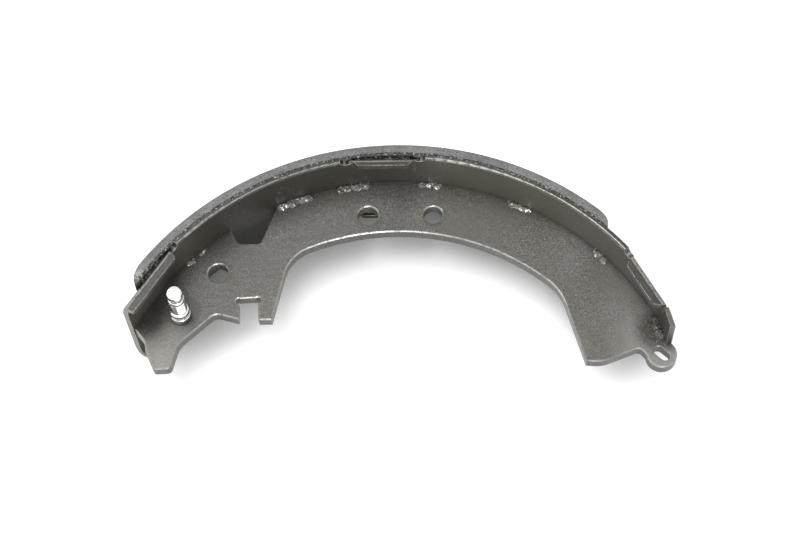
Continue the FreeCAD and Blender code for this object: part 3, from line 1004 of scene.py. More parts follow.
@dataclass(frozen=True)
class ZincPlate:
    """Bright zinc on a turned pin, with fine turning lines and dark grooves.

    Attributes:
        name: The material's name.
        base: Colour of the plate.
        dull: Colour of the hazy zones.
        groove_shade: Colour of the painted shade in the grooves.
    """

    name: str = "zinc_plate"
    base: Colour = (0.86, 0.87, 0.85, 1.0)
    dull: Colour = (0.62, 0.63, 0.6, 1.0)
    groove_shade: Colour = (0.05, 0.052, 0.045, 1.0)

    def build(self, effects: EffectGroups) -> bpy.types.Material:
        """Builds the material.

        Args:
            effects: The shared effects.

        Returns:
            The material.
        """
        material, sheet, place, shader = new_material(self.name)
        haze = sheet.group(effects.stain, Place=place, Scale=260.0, Cover=0.3)
        colour = sheet.mix(haze.outputs["Mask"], self.base, self.dull)
        # Painted shade: grooves and inner corners darken by how much sky they hide.
        shade_in_hollows = sheet.group(effects.hollow_shade, Place=place, Reach=1.6 * MM, Low=0.2, High=0.42)
        colour = sheet.tint(colour, shade_in_hollows.outputs["Mask"], 0.92, self.groove_shade)
        sheet.feed(colour, shader.inputs["Base Color"])
        shader.inputs["Metallic"].default_value = 1.0
        sheet.feed(sheet.between(haze.outputs["Mask"], 0.14, 0.3), shader.inputs["Roughness"])
        lines = sheet.add("ShaderNodeMapping")
        lines.inputs["Scale"].default_value = (0.02, 0.02, 1.0)
        sheet.feed(place, lines.inputs["Vector"])
        turned = sheet.noise(lines.outputs["Vector"], 5200.0, 2.0, 0.5)
        grain = sheet.group(effects.grain, Place=place, Scale=700.0, Fine=0.3)
        height = sheet.math("ADD", turned, sheet.times(grain.outputs["Height"], 0.5))
        bumped(sheet, height, 0.02 * MM, shader)
        return material


@dataclass(frozen=True)
class WeldMetal:
    """Weld metal under a thin coat, with bright crests and dark scale between them.

    Attributes:
        name: The material's name.
        coat: Colour of the coated metal.
        bright: Colour of the crests.
        scale: Colour of the dark scale, of the soot and of the painted shade in hollows.
        rings: Sooty rings.
    """

    name: str = "weld_metal"
    coat: Colour = (0.15, 0.147, 0.132, 1.0)
    bright: Colour = (0.8, 0.79, 0.76, 1.0)
    scale: Colour = (0.05, 0.047, 0.04, 1.0)
    rings: tuple[Ring, ...] = ()

    def build(self, effects: EffectGroups) -> bpy.types.Material:
        """Builds the material.

        Args:
            effects: The shared effects.

        Returns:
            The material.
        """
        material, sheet, place, shader = new_material(self.name)
        crests = sheet.span(sheet.noise(place, 650.0, 3.0, 0.6), 0.54, 0.62)
        colour = sheet.mix(crests, self.coat, self.bright)
        scale = sheet.span(sheet.noise(place, 480.0, 4.0, 0.6), 0.56, 0.64)
        colour = sheet.mix(scale, colour, self.scale)
        # Painted shade: hollows between the lumps darken by how much sky they hide.
        shade_in_hollows = sheet.group(effects.hollow_shade, Place=place, Reach=1.5 * MM, Low=0.3, High=0.6)
        colour = sheet.tint(colour, shade_in_hollows.outputs["Mask"], 0.85, self.scale)
        for ring in self.rings:
            colour = sheet.mix(ring.mask(sheet, place, effects), colour, self.scale)
        sheet.feed(colour, shader.inputs["Base Color"])
        sheet.feed(sheet.between(crests, 0.1, 0.95), shader.inputs["Metallic"])
        sheet.feed(sheet.between(crests, 0.4, 0.22), shader.inputs["Roughness"])
        grain = sheet.group(effects.grain, Place=place, Scale=800.0, Fine=0.4)
        bumped(sheet, grain.outputs["Height"], 0.15 * MM, shader)
        return material


@dataclass(frozen=True)
class BondingGlue:
    """Black baked adhesive with bright specks in it: partly its own pale bits, partly painted
    glints.

    Attributes:
        name: The material's name.
        base: Colour of the adhesive.
        ash: Colour of its dusty parts.
        flake_and_glint: Colour of the bright specks: partly pale bits, partly painted glints.
    """

    name: str = "bonding_glue"
    base: Colour = (0.014, 0.014, 0.011, 1.0)
    ash: Colour = (0.07, 0.068, 0.06, 1.0)
    flake_and_glint: Colour = (0.5, 0.5, 0.46, 1.0)

    def build(self, effects: EffectGroups) -> bpy.types.Material:
        """Builds the material.

        Args:
            effects: The shared effects.

        Returns:
            The material.
        """
        material, sheet, place, shader = new_material(self.name)
        dusty = sheet.span(sheet.noise(place, 420.0, 4.0, 0.65), 0.45, 0.65)
        colour = sheet.mix(dusty, self.base, self.ash)
        # Bright specks: partly pale bits in the adhesive, partly painted glints.
        flake_glints = sheet.span(sheet.noise(place, 900.0, 3.0, 0.7), 0.57, 0.63)
        colour = sheet.mix(flake_glints, colour, self.flake_and_glint)
        sheet.feed(colour, shader.inputs["Base Color"])
        sheet.feed(sheet.between(flake_glints, 0.6, 0.35), shader.inputs["Roughness"])
        grain = sheet.group(effects.grain, Place=place, Scale=600.0, Fine=0.6)
        bumped(sheet, grain.outputs["Height"], 0.25 * MM, shader)
        return material


def clear_selection() -> None:
    """Deselects every object, the CAD nodes among them."""
    for thing in bpy.context.selected_objects:
        thing.select_set(False)


def make_active(thing: bpy.types.Object) -> None:
    """Selects one object alone and makes it active.

    Args:
        thing: The object.
    """
    clear_selection()
    thing.select_set(True)
    bpy.context.view_layer.objects.active = thing


@contextmanager
def edit_mode(thing: bpy.types.Object) -> Iterator[None]:
    """Opens an object in edit mode with all of it selected, and closes it again.

    Args:
        thing: The object.

    Yields:
        Nothing.
    """
    make_active(thing)
    bpy.ops.object.mode_set(mode="EDIT")
    bpy.ops.mesh.select_all(action="SELECT")
    yield
    bpy.ops.object.mode_set(mode="OBJECT")


def apply_place(thing: bpy.types.Object) -> None:
    """Moves an object's place into its mesh.

    Args:
        thing: The object.
    """
    make_active(thing)
    bpy.ops.object.transform_apply(location=True, rotation=True, scale=True)


def apply_modifiers(thing: bpy.types.Object) -> None:
    """Applies all of an object's modifiers.

    Args:
        thing: The object.
    """
    make_active(thing)
    for modifier in list(thing.modifiers):
        bpy.ops.object.modifier_apply(modifier=modifier.name)


def joined(pieces: list[bpy.types.Object]) -> bpy.types.Object:
    """Joins objects into the first of them.

    Args:
        pieces: The objects.

    Returns:
        The joined object.
    """
    clear_selection()
    for piece in pieces:
        piece.select_set(True)
    bpy.context.view_layer.objects.active = pieces[0]
    if len(pieces) > 1:
        bpy.ops.object.join()
    return pieces[0]


def roughened(thing: bpy.types.Object, lump: float, strength: float) -> None:
    """Pushes a mesh in and out by noise.

    Args:
        thing: The object.
        lump: Size of the lumps in metres.
        strength: Full height of the lumps in metres.
    """
    texture = bpy.data.textures.new("lumps", "CLOUDS")
    texture.noise_scale = lump
    texture.noise_depth = 2
    push = thing.modifiers.new("lumps", "DISPLACE")
    push.texture = texture
    push.texture_coords = "LOCAL"
    push.strength = strength
    push.mid_level = 0.5


def swept(section: bpy.types.Object, first: float, last: float, step: float) -> bpy.types.Object:
    """Sweeps a section that stands at one angle round the drum axis to another.

    Args:
        section: The section.
        first: Its angle in degrees.
        last: The angle that it is swept to.
        step: Length of the mesh cells round the table.

    Returns:
        The swept piece.
    """
    turn = math.radians(last - first)
    steps = max(4, round(turn * SHOE.table_outer / step))
    with edit_mode(section):
        bpy.ops.mesh.spin(steps=steps, angle=-turn, center=SHOE.centre(), axis=(0.0, 0.0, 1.0))
        bpy.ops.mesh.select_all(action="SELECT")
        bpy.ops.mesh.remove_doubles(threshold=0.001 * MM)
        bpy.ops.mesh.normals_make_consistent(inside=False)
    return section


def soften_edges(thing: bpy.types.Object, width: float, sharp: float) -> None:
    """Rounds an object's sharp edges.

    Args:
        thing: The object.
        width: Width of the rounding in metres.
        sharp: Edges bent further than this, in degrees, are rounded.
    """
    rounding = thing.modifiers.new("edges", "BEVEL")
    rounding.width = width
    rounding.segments = 2
    rounding.limit_method = "ANGLE"
    rounding.angle_limit = math.radians(sharp)
    apply_modifiers(thing)


def smoothed(thing: bpy.types.Object, crease: float) -> None:
    """Shades an object smooth, apart from edges that are bent further than an angle.

    Args:
        thing: The object.
        crease: The angle in degrees.
    """
    make_active(thing)
    bpy.ops.object.shade_smooth_by_angle(angle=math.radians(crease), keep_sharp_edges=False)


def finish_piece(
    thing: bpy.types.Object, name: str, material: bpy.types.Material, slot: Slot, *nodes: Node
) -> bpy.types.Object:
    """Names and dresses a finished piece, attaches it to the root body and hides the CAD nodes it
    stands for.

    Args:
        thing: The object.
        name: The piece's name.
        material: Its material.
        slot: Not used.
        *nodes: CAD nodes that it stands for.

    Returns:
        The piece.
    """
    thing.name = name
    thing.data.name = name
    thing.data.materials.clear()
    thing.data.materials.append(material)
    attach(thing, "root")
    if nodes:
        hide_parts(*[node.value for node in nodes])
    LOG.info("%s: %d faces", name, len(thing.data.polygons))
    return thing


@dataclass
class FormedPiece:
    """A steel piece with the CAD node's own shape: loose triangles merged and shaded.

    Attributes:
        node: The CAD node.
        name: The piece's name.
        merge: Corners closer than this are one.
        crease: Edges bent further than this, in degrees, stay sharp.
        weight: How much large faces turn the shading their way, in percent.
    """

    node: Node
    name: str
    merge: float = 0.002 * MM
    crease: float = 32.0
    weight: int = 90

    def build(self, frame: dict, material: bpy.types.Material, slot: Slot) -> bpy.types.Object:
        """Builds the piece.

        Args:
            material: Its material.
            slot: The record's slot.

        Returns:
            The piece.
        """
        source = frame["nodes"][self.node.value]
        piece = bpy.data.objects.new(self.name, source.data.copy())
        bpy.context.scene.collection.objects.link(piece)
        with edit_mode(piece):
            bpy.ops.mesh.remove_doubles(threshold=self.merge)
        if piece.data.has_custom_normals:
            bpy.ops.mesh.customdata_custom_splitnormals_clear()
        smoothed(piece, self.crease)
        weighted = piece.modifiers.new("weighted", "WEIGHTED_NORMAL")
        weighted.keep_sharp = True
        weighted.weight = self.weight
        apply_modifiers(piece)
        return finish_piece(piece, self.name, material, slot, self.node)


@dataclass
class FrictionBlock:
    """The lining: a bar swept round the table, with a round nose at both ends.

    Attributes:
        first: First angle in degrees.
        last: Last angle in degrees.
        side_step: How far its edges stay inside the table's.
        right_nose: Outline of the right end in plan: radius in millimetres and angle.
        left_nose: Outline of the left end.
        step: Length of the mesh cells round the arc.
        edge: Width of the broken edges.
        sharp: Edges bent further than this, in degrees, are broken.
        crease: Edges bent further than this, in degrees, stay sharp.
    """

    first: float = 40.7
    last: float = 146.6
    side_step: float = 0.15 * MM
    right_nose: tuple[tuple[float, float], ...] = (
        (127.0, 44.5),
        (126.7, 43.45),
        (126.2, 42.6),
        (125.3, 41.95),
        (124.0, 41.4),
        (122.5, 40.8),
    )
    left_nose: tuple[tuple[float, float], ...] = (
        (127.0, 142.2),
        (126.7, 143.3),
        (126.1, 144.3),
        (125.2, 145.1),
        (124.1, 145.75),
        (122.5, 146.5),
    )
    step: float = 1.2 * MM
    edge: float = 0.45 * MM
    sharp: float = 50.0
    crease: float = 32.0

    def build(self, material: bpy.types.Material) -> bpy.types.Object:
        """Builds the lining.

        Args:
            material: Its material.

        Returns:
            The piece.
        """
        radius = (SHOE.drum + SHOE.table_outer) / 2.0
        clear_selection()
        bpy.ops.mesh.primitive_plane_add(
            size=1.0,
            location=SHOE.at(radius, self.first, SHOE.middle),
            rotation=(math.radians(90.0), 0.0, math.radians(self.first)),
        )
        block = bpy.context.active_object
        high = 2.0 * (SHOE.half_width - self.side_step)
        block.scale = (SHOE.drum - SHOE.table_outer, high, 1.0)
        apply_place(block)
        swept(block, self.first, self.last, self.step)
        for nose, side in ((self.right_nose, 1.0), (self.left_nose, -1.0)):
            for start, end in zip(nose, nose[1:]):
                self._cut(block, start, end, side)
        soften_edges(block, self.edge, self.sharp)
        smoothed(block, self.crease)
        return finish_piece(block, "lining_block", material, Slot.LINING, Node.LINING)

    @staticmethod
    def _cut(
        block: bpy.types.Object, start: tuple[float, float], end: tuple[float, float], side: float
    ) -> None:
        """Cuts the block along one upright plane of a nose.

        Args:
            block: The lining.
            start: Radius and angle of the plane's first point.
            end: Radius and angle of its last point.
            side: 1 at the right end, -1 at the left end.
        """
        near = SHOE.at(start[0] * MM, start[1])
        far = SHOE.at(end[0] * MM, end[1])
        along = far - near
        out = Vector((-along.y, along.x, 0.0)).normalized() * side
        with edit_mode(block):
            bpy.ops.mesh.bisect(plane_co=near, plane_no=out, use_fill=True, clear_outer=True)


@dataclass
class TurnedPin:
    """The lever pin, turned.

    Attributes:
        inset: How far its centre is in from the table's inner face.
        angle: Its angle from +X in degrees.
        profile: Outline from the rivet head up to the free end: radius and height over the web's
            upper face, in millimetres.
        sides: Faces round the pin.
        edge: Width of the rounded edges.
        sharp: Edges bent further than this, in degrees, are rounded.
        crease: Edges bent further than this, in degrees, stay sharp.
    """

    inset: float = 14.0 * MM
    angle: float = 143.9
    profile: tuple[tuple[float, float], ...] = (
        (2.86, -7.3),
        (5.2, -6.04),
        (5.2, -5.5),
        (3.08, -5.5),
        (3.08, -0.15),
        (4.4, -0.15),
        (4.4, 3.0),
        (4.1, 3.3),
        (3.8, 3.3),
        (3.8, 3.8),
        (4.15, 3.8),
        (4.15, 6.4),
        (3.65, 6.9),
        (3.45, 6.9),
        (3.45, 14.8),
        (3.2, 14.8),
        (3.2, 15.2),
        (3.45, 15.2),
        (3.45, 16.8),
        (3.15, 17.1),
        (2.6, 17.1),
        (2.6, 18.0),
        (3.2, 18.0),
        (3.2, 21.2),
        (2.5, 21.9),
    )
    sides: int = 72
    edge: float = 0.09 * MM
    sharp: float = 30.0
    crease: float = 40.0

    def build(self, material: bpy.types.Material) -> bpy.types.Object:
        """Builds the pin by raising and scaling its end face step by step.

        Args:
            material: Its material.

        Returns:
            The pin.
        """
        base = SHOE.web_face(Side.UPPER)
        radius, low = self.profile[0]
        centre = SHOE.at(SHOE.table_inner - self.inset, self.angle, base + low * MM)
        clear_selection()
        bpy.ops.mesh.primitive_circle_add(
            vertices=self.sides, radius=radius * MM, fill_type="NGON", location=centre
        )
        pin = bpy.context.active_object
        apply_place(pin)
        with edit_mode(pin):
            for wide, high in self.profile[1:]:
                lift = (0.0, 0.0, (high - low) * MM)
                bpy.ops.mesh.extrude_region_move(TRANSFORM_OT_translate={"value": lift})
                factor = wide / radius
                bpy.ops.transform.resize(value=(factor, factor, 1.0), center_override=centre)
                radius, low = wide, high
            bpy.ops.mesh.select_all(action="SELECT")
            bpy.ops.mesh.normals_make_consistent(inside=False)
        soften_edges(pin, self.edge, self.sharp)
        smoothed(pin, self.crease)
        return finish_piece(pin, "turned_pin", material, Slot.PIN, Node.PIN)


@dataclass
class SeamWelds:
    """Short weld runs in the corner between the web and the table.

    Attributes:
        runs: First angle, last angle and size in millimetres of each run.
        upper_only: How many of the first runs have no partner below the web.
        pitch: Distance between lumps, as a share of their size.
        flat: Height of a lump as a share of its width.
        voxel: Size of the mesh cells in metres.
        size_share: Mean size of a lump as a share of the run's.
        size_swing: How far lumps differ from that.
        wave: How far the waves of sizes and places turn per lump and per run, in radians.
        drift: How far lumps wander off the seam, as a share of their size.
        noise: Size and height of the roughness.
        sunk: How far the runs reach into the web.
        behind: How far they reach behind the table's inner face.
        crease: Edges bent further than this, in degrees, stay sharp.
    """

    runs: tuple[tuple[float, float, float], ...] = (
        (19.4, 23.0, 2.6),
        (39.6, 42.0, 2.2),
        (58.4, 62.6, 1.9),
        (77.6, 81.2, 2.0),
        (92.9, 98.0, 2.3),
        (105.2, 110.8, 2.5),
        (129.4, 130.4, 1.5),
        (132.4, 133.6, 1.6),
    )
    upper_only: int = 1
    pitch: float = 0.6
    flat: float = 0.55
    voxel: float = 0.28 * MM
    size_share: float = 0.82
    size_swing: float = 0.16
    wave: tuple[float, float] = (2.4, 1.7)
    drift: float = 0.25
    noise: tuple[float, float] = (0.8 * MM, 1.0 * MM)
    sunk: float = 0.2 * MM
    behind: float = 0.35 * MM
    crease: float = 60.0

    def build(self, material: bpy.types.Material) -> bpy.types.Object:
        """Builds all the runs as one piece.

        Args:
            material: Its material.

        Returns:
            The piece.
        """
        made = []
        for index, (first, last, size) in enumerate(self.runs):
            sides = (Side.UPPER,) if index < self.upper_only else (Side.UPPER, Side.LOWER)
            for side in sides:
                made.append(self._run(index, first, last, size, side))
        welds = joined(made)
        smoothed(welds, self.crease)
        return finish_piece(welds, "seam_welds", material, Slot.WELD, Node.WELD)

    def _run(
        self, index: int, first: float, last: float, size: float, side: Side
    ) -> bpy.types.Object:
        """Builds one run from overlapping lumps that are fused and roughened.

        Args:
            index: The run's number, which varies its lumps.
            first: First angle in degrees.
            last: Last angle in degrees.
            size: Half the run's width in millimetres.
            side: Which side of the web it is on.

        Returns:
            The run.
        """
        length = math.radians(last - first) * SHOE.table_inner / MM
        count = max(3, round(length / (self.pitch * size)) + 1)
        height = SHOE.web_face(side)
        lumps = []
        for step in range(count):
            share = step / (count - 1)
            wave = math.sin(self.wave[0] * step + self.wave[1] * index)
            swell = size * (self.size_share + self.size_swing * wave)
            place = SHOE.seam(first + (last - first) * share, height)
            inward = (SHOE.centre(height) - place).normalized()
            place += inward * (self.drift * size * MM * (1.0 + wave))
            clear_selection()
            bpy.ops.mesh.primitive_ico_sphere_add(subdivisions=3, radius=swell * MM, location=place)
            lump = bpy.context.active_object
            lump.scale = (1.0, 1.0, self.flat)
            apply_place(lump)
            lumps.append(lump)
        run = joined(lumps)
        fuse = run.modifiers.new("fuse", "REMESH")
        fuse.mode = "VOXEL"
        fuse.voxel_size = self.voxel
        roughened(run, *self.noise)
        apply_modifiers(run)
        self._trim(run, first, last, side)
        return run

    def _trim(self, run: bpy.types.Object, first: float, last: float, side: Side) -> None:
        """Cuts off what is inside the web and behind the table's face.

        Args:
            run: The run.
            first: First angle in degrees.
            last: Last angle in degrees.
            side: Which side of the web it is on.
        """
        middle = SHOE.seam((first + last) / 2.0, 0.0)
        onward = SHOE.seam(last, 0.0) - SHOE.seam(first, 0.0)
        out = Vector((onward.y, -onward.x, 0.0)).normalized()
        if out.dot(middle - SHOE.centre()) < 0.0:
            out = -out
        base = (0.0, 0.0, SHOE.web_face(side) - side.value * self.sunk)
        up = (0.0, 0.0, side.value)
        wall = middle + out * self.behind
        with edit_mode(run):
            bpy.ops.mesh.bisect(plane_co=base, plane_no=up, use_fill=True, clear_inner=True)
            bpy.ops.mesh.select_all(action="SELECT")
            bpy.ops.mesh.bisect(plane_co=wall, plane_no=out, use_fill=True, clear_outer=True)


@dataclass
class BondAdhesive:
    """Baked adhesive squeezed out at the lining's edges, and in the hollows behind two pads.

    Attributes:
        first: First angle of the seam in degrees.
        last: Last angle of the seam.
        seam_radius: Distance of the seam's bead from the drum axis.
        low_bead_lift: How much further in from its edge the lower bead sits.
        bead_wide: Half the bead's width.
        bead_high: Half the bead's height.
        bead_inset: How far the bead's middle is inside the table's edge.
        bead_sides: Faces round the bead.
        bead_noise: Size and height of its roughness.
        hollows: First and last angle of each hollow behind a pad.
        hollow_inner: Inner radius of the hollows' filling, inside the pad's wall.
        hollow_deep: Depth of the filling below the table's edge.
        hollow_sunk: How far its top is below the table's edge.
        hollow_over: How far it reaches into the lining.
        hollow_noise: Size and height of its roughness.
        step: Length of the mesh cells along the seam.
        crease: Edges bent further than this, in degrees, stay sharp.
    """

    first: float = 41.3
    last: float = 144.7
    seam_radius: float = 122.55 * MM
    low_bead_lift: float = 0.75 * MM
    bead_wide: float = 0.6 * MM
    bead_high: float = 0.22 * MM
    bead_inset: float = 0.08 * MM
    bead_sides: int = 10
    bead_noise: tuple[float, float] = (1.1 * MM, 0.8 * MM)
    hollows: tuple[tuple[float, float], ...] = ((83.6, 94.6), (137.6, 144.7))
    hollow_inner: float = 120.7 * MM
    hollow_deep: float = 9.0 * MM
    hollow_sunk: float = 1.9 * MM
    hollow_over: float = 0.1 * MM
    hollow_noise: tuple[float, float] = (1.3 * MM, 1.3 * MM)
    step: float = 0.5 * MM
    crease: float = 50.0

    def build(self, material: bpy.types.Material) -> bpy.types.Object:
        """Builds the beads and fillings as one piece.

        Args:
            material: Its material.

        Returns:
            The piece.
        """
        made = []
        for side in Side:
            made.append(self._bead(side))
            for first, last in self.hollows:
                made.append(self._filling(side, first, last))
        glue = joined(made)
        smoothed(glue, self.crease)
        return finish_piece(glue, "bond_adhesive", material, Slot.LINING)

    def _bead(self, side: Side) -> bpy.types.Object:
        """Builds the thin bead along the seam on one edge.

        Args:
            side: The table's upper or lower edge.

        Returns:
            The bead.
        """
        inset = self.bead_inset + (self.low_bead_lift if side is Side.LOWER else 0.0)
        height = SHOE.rim(side) - side.value * inset
        clear_selection()
        bpy.ops.mesh.primitive_circle_add(
            vertices=self.bead_sides,
            radius=self.bead_wide,
            fill_type="NGON",
            location=SHOE.at(self.seam_radius, self.first, height),
            rotation=(math.radians(90.0), 0.0, math.radians(self.first)),
        )
        section = bpy.context.active_object
        section.scale = (1.0, self.bead_high / self.bead_wide, 1.0)
        apply_place(section)
        bead = swept(section, self.first, self.last, self.step)
        roughened(bead, *self.bead_noise)
        apply_modifiers(bead)
        return bead

    def _filling(self, side: Side, first: float, last: float) -> bpy.types.Object:
        """Builds the rough filling of one hollow behind a pad.

        Args:
            side: The table's upper or lower edge.
            first: First angle in degrees.
            last: Last angle in degrees.

        Returns:
            The filling.
        """
        outer = SHOE.table_outer + self.hollow_over
        wide = outer - self.hollow_inner
        high = self.hollow_deep - self.hollow_sunk
        middle = SHOE.rim(side) - side.value * (self.hollow_sunk + high / 2.0)
        clear_selection()
        bpy.ops.mesh.primitive_grid_add(
            x_subdivisions=5,
            y_subdivisions=12,
            size=1.0,
            location=SHOE.at((outer + self.hollow_inner) / 2.0, first, middle),
            rotation=(math.radians(90.0), 0.0, math.radians(first)),
        )
        section = bpy.context.active_object
        section.scale = (wide, high, 1.0)
        apply_place(section)
        filling = swept(section, first, last, self.step)
        roughened(filling, *self.hollow_noise)
        apply_modifiers(filling)
        return filling


@dataclass(frozen=True)
class Panel:
    """A soft square lamp aimed at the shoe.

    Attributes:
        name: The lamp's name.
        place: Where it is, in metres.
        size: Its side in metres.
        power: Its power in watts.
    """

    name: str
    place: tuple[float, float, float]
    size: float
    power: float

    def build(self) -> None:
        """Adds the lamp to the scene."""
        data = bpy.data.lights.new(self.name, "AREA")
        data.shape = "SQUARE"
        data.size = self.size
        data.energy = self.power
        lamp = bpy.data.objects.new(self.name, data)
        bpy.context.scene.collection.objects.link(lamp)
        lamp.location = self.place
        aim = Vector((0.0, 0.0, SHOE.middle)) - Vector(self.place)
        lamp.rotation_euler = aim.to_track_quat("-Z", "Y").to_euler()


@dataclass
class Studio:
    """Floor, lights, world and camera.

    Attributes:
        eye: The camera's place in metres.
        tilt: How far below level the camera looks, in degrees.
        roll: How far it leans, in degrees.
        lens: Focal length in millimetres on a 36 mm sensor.
        floor_half: Half the floor's width in metres.
        floor_colour: The floor's own colour.
        floor_shadow_colour: Painted shadow: its colour in the closed-in places below the shoe.
        floor_shadow_span: Shares of open sky between which that painted shadow ends.
        floor_glow: How much the far floor adds where the camera sees it.
        behind_span: Distances from the drum axis between which the floor turns far.
        before_span: Y between which it turns far in front of the shoe.
        near_glow: Painted light: how much glow the open floor near the shoe adds where the camera
            sees it.
        near_span: Shares of open sky between which that glow sets in.
        near_reach: How far off things count as closing the floor in.
        dome: Strength of the dome of light.
        panels: The lamps.
        WHITE: The colour of every light.
    """

    WHITE = (1.0, 1.0, 1.0, 1.0)

    eye: tuple[float, float, float] = (1.742 * MM, -346.633 * MM, 697.3 * MM)
    tilt: float = 62.51
    roll: float = -3.69
    lens: float = 81.0
    floor_half: float = 6.0
    floor_colour: Colour = (0.93, 0.93, 0.93, 1.0)
    floor_shadow_colour: Colour = (0.34, 0.34, 0.335, 1.0)
    floor_shadow_span: tuple[float, float] = (0.12, 0.36)
    floor_glow: float = 0.5
    behind_span: tuple[float, float] = (0.122, 0.2)
    before_span: tuple[float, float] = (-0.07, -0.13)
    near_glow: float = 0.45
    near_span: tuple[float, float] = (0.32, 0.86)
    near_reach: float = 0.036
    dome: float = 0.4
    panels: tuple[Panel, ...] = (
        Panel("key_panel", (-0.45, 0.15, 1.15), 1.0, 9.5),
        Panel("front_panel", (0.1, -1.05, 0.5), 0.5, 8.0),
        Panel("left_panel", (-1.1, 0.0, 0.45), 0.5, 1.4),
    )

    def build(self) -> None:
        """Builds the whole studio."""
        self._camera()
        self._floor()
        self._world()
        for panel in self.panels:
            panel.build()
        bpy.context.scene.view_settings.view_transform = "Standard"

    def _camera(self) -> None:
        """Adds the camera at the photograph's angle."""
        data = bpy.data.cameras.new("camera")
        data.sensor_width = 36.0
        data.lens = self.lens
        data.clip_start = 0.01
        data.clip_end = 50.0
        camera = bpy.data.objects.new("camera", data)
        bpy.context.scene.collection.objects.link(camera)
        tilt = math.radians(self.tilt)
        roll = math.radians(self.roll)
        forward = Vector((0.0, math.cos(tilt), -math.sin(tilt)))
        raised = Vector((0.0, math.sin(tilt), math.cos(tilt)))
        aside = Vector((1.0, 0.0, 0.0))
        right = math.cos(roll) * aside + math.sin(roll) * raised
        upward = -math.sin(roll) * aside + math.cos(roll) * raised
        turn = Matrix((right, upward, -forward)).transposed().to_4x4()
        camera.matrix_world = Matrix.Translation(self.eye) @ turn
        bpy.context.scene.camera = camera

    @staticmethod
    def _shown(sheet: Sheet) -> Socket:
        """Gives 1 where the camera, a reflection or a refraction looks, and 0 elsewhere.

        Args:
            sheet: The sheet of a material or world.

        Returns:
            The mask.
        """
        seen = sheet.add("ShaderNodeLightPath").outputs
        shown = sheet.math("MAXIMUM", seen["Is Camera Ray"], seen["Is Glossy Ray"])
        return sheet.math("MAXIMUM", shown, seen["Is Transmission Ray"])

    def _floor(self) -> None:
        """Adds a white floor that keeps the object's shadow, deepens it with painted shadow below
        the shoe, lightens the open floor near it with painted light, and turns plain white further
        out.
        """
        clear_selection()
        bpy.ops.mesh.primitive_plane_add(size=2.0 * self.floor_half, location=(0.0, 0.0, 0.0))
        floor = bpy.context.active_object
        floor.name = "floor"
        material = bpy.data.materials.new("floor_paper")
        material.use_nodes = True
        sheet = Sheet(material.node_tree)
        place = sheet.add("ShaderNodeTexCoord").outputs["Object"]
        reach = sheet.vector("DISTANCE", place, SHOE.centre()).outputs["Value"]
        behind = sheet.span(reach, *self.behind_span)
        before = sheet.span(sheet.axis(place, "Y"), *self.before_span)
        far = sheet.times(sheet.math("MAXIMUM", behind, before), self.floor_glow)
        sky = sheet.add("ShaderNodeAmbientOcclusion", samples=8)
        sky.inputs["Distance"].default_value = self.near_reach
        # Painted light: the open floor near the shoe glows where the camera sees it, lightening its
        # shadow.
        near = sheet.times(sheet.span(sky.outputs["AO"], *self.near_span), self.near_glow)
        # Painted shadow: the floor's own colour darkens in the closed-in places below the shoe.
        shade = sheet.span(sky.outputs["AO"], *self.floor_shadow_span)
        diffuse = sheet.add("ShaderNodeBsdfDiffuse")
        sheet.feed(sheet.mix(shade, self.floor_shadow_colour, self.floor_colour), diffuse.inputs["Color"])
        glow = sheet.add("ShaderNodeEmission")
        glow.inputs["Color"].default_value = self.WHITE
        strength = sheet.times(self._shown(sheet), sheet.math("ADD", far, near))
        sheet.feed(strength, glow.inputs["Strength"])
        both = sheet.add("ShaderNodeAddShader")
        sheet.feed(diffuse.outputs["BSDF"], both.inputs[0])
        sheet.feed(glow.outputs["Emission"], both.inputs[1])
        output = sheet.add("ShaderNodeOutputMaterial")
        sheet.feed(both.outputs["Shader"], output.inputs["Surface"])
        floor.data.materials.append(material)

    def _world(self) -> None:
        """Sets a soft dome of light, white where the camera or a reflection sees it."""
        world = bpy.data.worlds.new("dome")
        world.use_nodes = True
        bpy.context.scene.world = world
        sheet = Sheet(world.node_tree)
        light = sheet.add("ShaderNodeBackground")
        light.inputs["Color"].default_value = self.WHITE
        strength = sheet.between(self._shown(sheet), self.dome, 1.0)
        sheet.feed(strength, light.inputs["Strength"])
        output = sheet.add("ShaderNodeOutputWorld")
        sheet.feed(light.outputs["Background"], output.inputs["Surface"])


def dark_rings_dirt_and_shade() -> tuple[Ring, ...]:
    """Gives the dark rings on the web: dirty rims round the holes, a dark ring round the pin, soot
    by the last weld, and painted shade by the left wall and over the middle.
    """
    inner = SHOE.table_inner
    return (
        # A dark ring round the pin, then dirty rims round the three holes.
        Ring(SHOE.at(inner - 14.4 * MM, 142.4), 5.2 * MM, 7.6 * MM, 0.75),
        Ring(SHOE.at(inner - 13.2 * MM, 130.2), 4.6 * MM, 6.2 * MM, 0.6),
        Ring(SHOE.at(inner - 16.1 * MM, 92.9), 4.7 * MM, 6.0 * MM, 0.4),
        Ring(SHOE.at(inner - 15.9 * MM, 77.6), 4.4 * MM, 5.8 * MM, 0.6),
        # Painted shadow: the web beside the left wall, where the wall keeps the light off.
        Ring(SHOE.at(inner - 1.5 * MM, 148.0), 5.0 * MM, 13.5 * MM, 0.85),
        Ring(SHOE.at(inner - 1.5 * MM, 143.0), 3.0 * MM, 10.0 * MM, 0.7),
        # Painted shade: broad dark zones over the middle of the web.
        Ring(SHOE.at(inner - 17.0 * MM, 86.0), 8.0 * MM, 26.0 * MM, 0.24),
        Ring(SHOE.at(inner - 18.0 * MM, 130.0), 10.0 * MM, 24.0 * MM, 0.22),
        # Soot by the last weld.
        Ring(SHOE.at(inner - 1.5 * MM, 20.5), 5.0 * MM, 13.0 * MM, 0.88),
    )


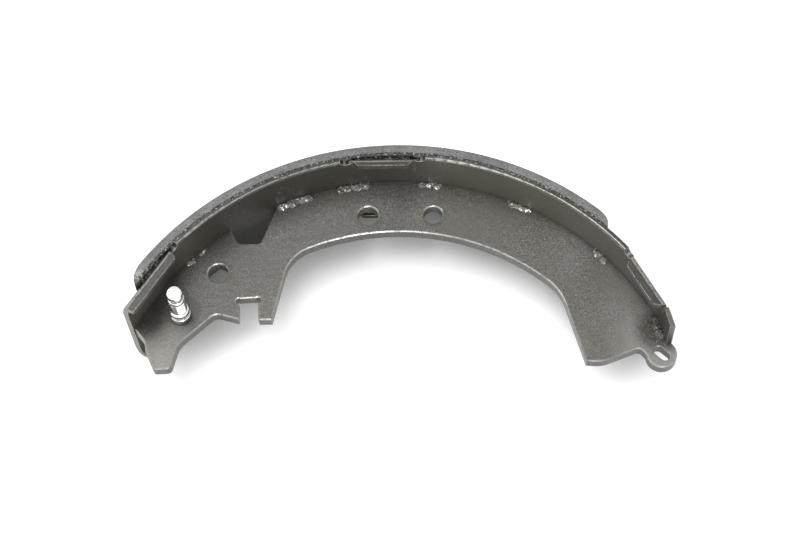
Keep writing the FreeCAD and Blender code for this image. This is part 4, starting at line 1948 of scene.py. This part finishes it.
def web_coating() -> CoatedSteel:
    """Gives the finish of the web."""
    return CoatedSteel(
        "web_coating",
        base=(0.106, 0.101, 0.087, 1.0),
        milky=(0.155, 0.15, 0.135, 1.0),
        pale=(0.25, 0.244, 0.223, 1.0),
        dark=(0.05, 0.047, 0.038, 1.0),
        rust=(0.122, 0.088, 0.058, 1.0),
        rust_cover=0.34,
        ends=0.8,
        shear_and_shade=(0.03, 0.029, 0.026, 1.0),
        shear_share=0.92,
        crest=(0.93, 0.5),
        crest_wear_and_highlight=0.6,
        crest_fade=0.85,
        blotch=0.25,
        mottle=(0.12, 0.85),
        speckle_scale=1900.0,
        speckle_cover=0.55,
        rings=dark_rings_dirt_and_shade(),
    )


def table_coating() -> CoatedSteel:
    """Gives the finish of the table."""
    return CoatedSteel(
        "table_coating",
        base=(0.076, 0.073, 0.058, 1.0),
        milky=(0.09, 0.087, 0.072, 1.0),
        pale=(0.21, 0.204, 0.18, 1.0),
        dark=(0.045, 0.043, 0.035, 1.0),
        rust=(0.075, 0.055, 0.036, 1.0),
        speckle_cover=0.25,
        blotch=0.2,
        mottle=(0.06, 0.9),
        level_dark=0.45,
        rings=(
            # Painted shade: the wall's upper left part, where less light reaches it. Then a dark
            # patch at the right end, by the last weld.
            Ring(SHOE.at(SHOE.table_inner, 108.0), 30.0 * MM, 78.0 * MM, 0.92),
            Ring(SHOE.at(SHOE.table_inner, 19.5), 6.0 * MM, 15.0 * MM, 0.7),
        ),
        rim=0.8,
        crest=(0.985, 0.8),
        crest_wear_and_highlight=0.5,
        wear=0.65,
    )


def main() -> None:
    """Builds every piece in order, then the studio."""
    logging.basicConfig(level=logging.INFO, format="%(name)s %(message)s")
    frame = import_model()
    effects = EffectGroups()
    coat = table_coating().build(effects)
    FormedPiece(Node.TABLE, "table_pressing").build(frame, coat, Slot.TABLE)
    coat = web_coating().build(effects)
    FormedPiece(Node.WEB, "web_stamping").build(frame, coat, Slot.WEB)
    FrictionBlock().build(FrictionCompound().build(effects))
    TurnedPin().build(ZincPlate().build(effects))
    last_weld = dark_rings_dirt_and_shade()[-1:]
    SeamWelds().build(WeldMetal(rings=last_weld).build(effects))
    BondAdhesive().build(BondingGlue().build(effects))
    Studio().build()


if __name__ == "__main__":
    main()
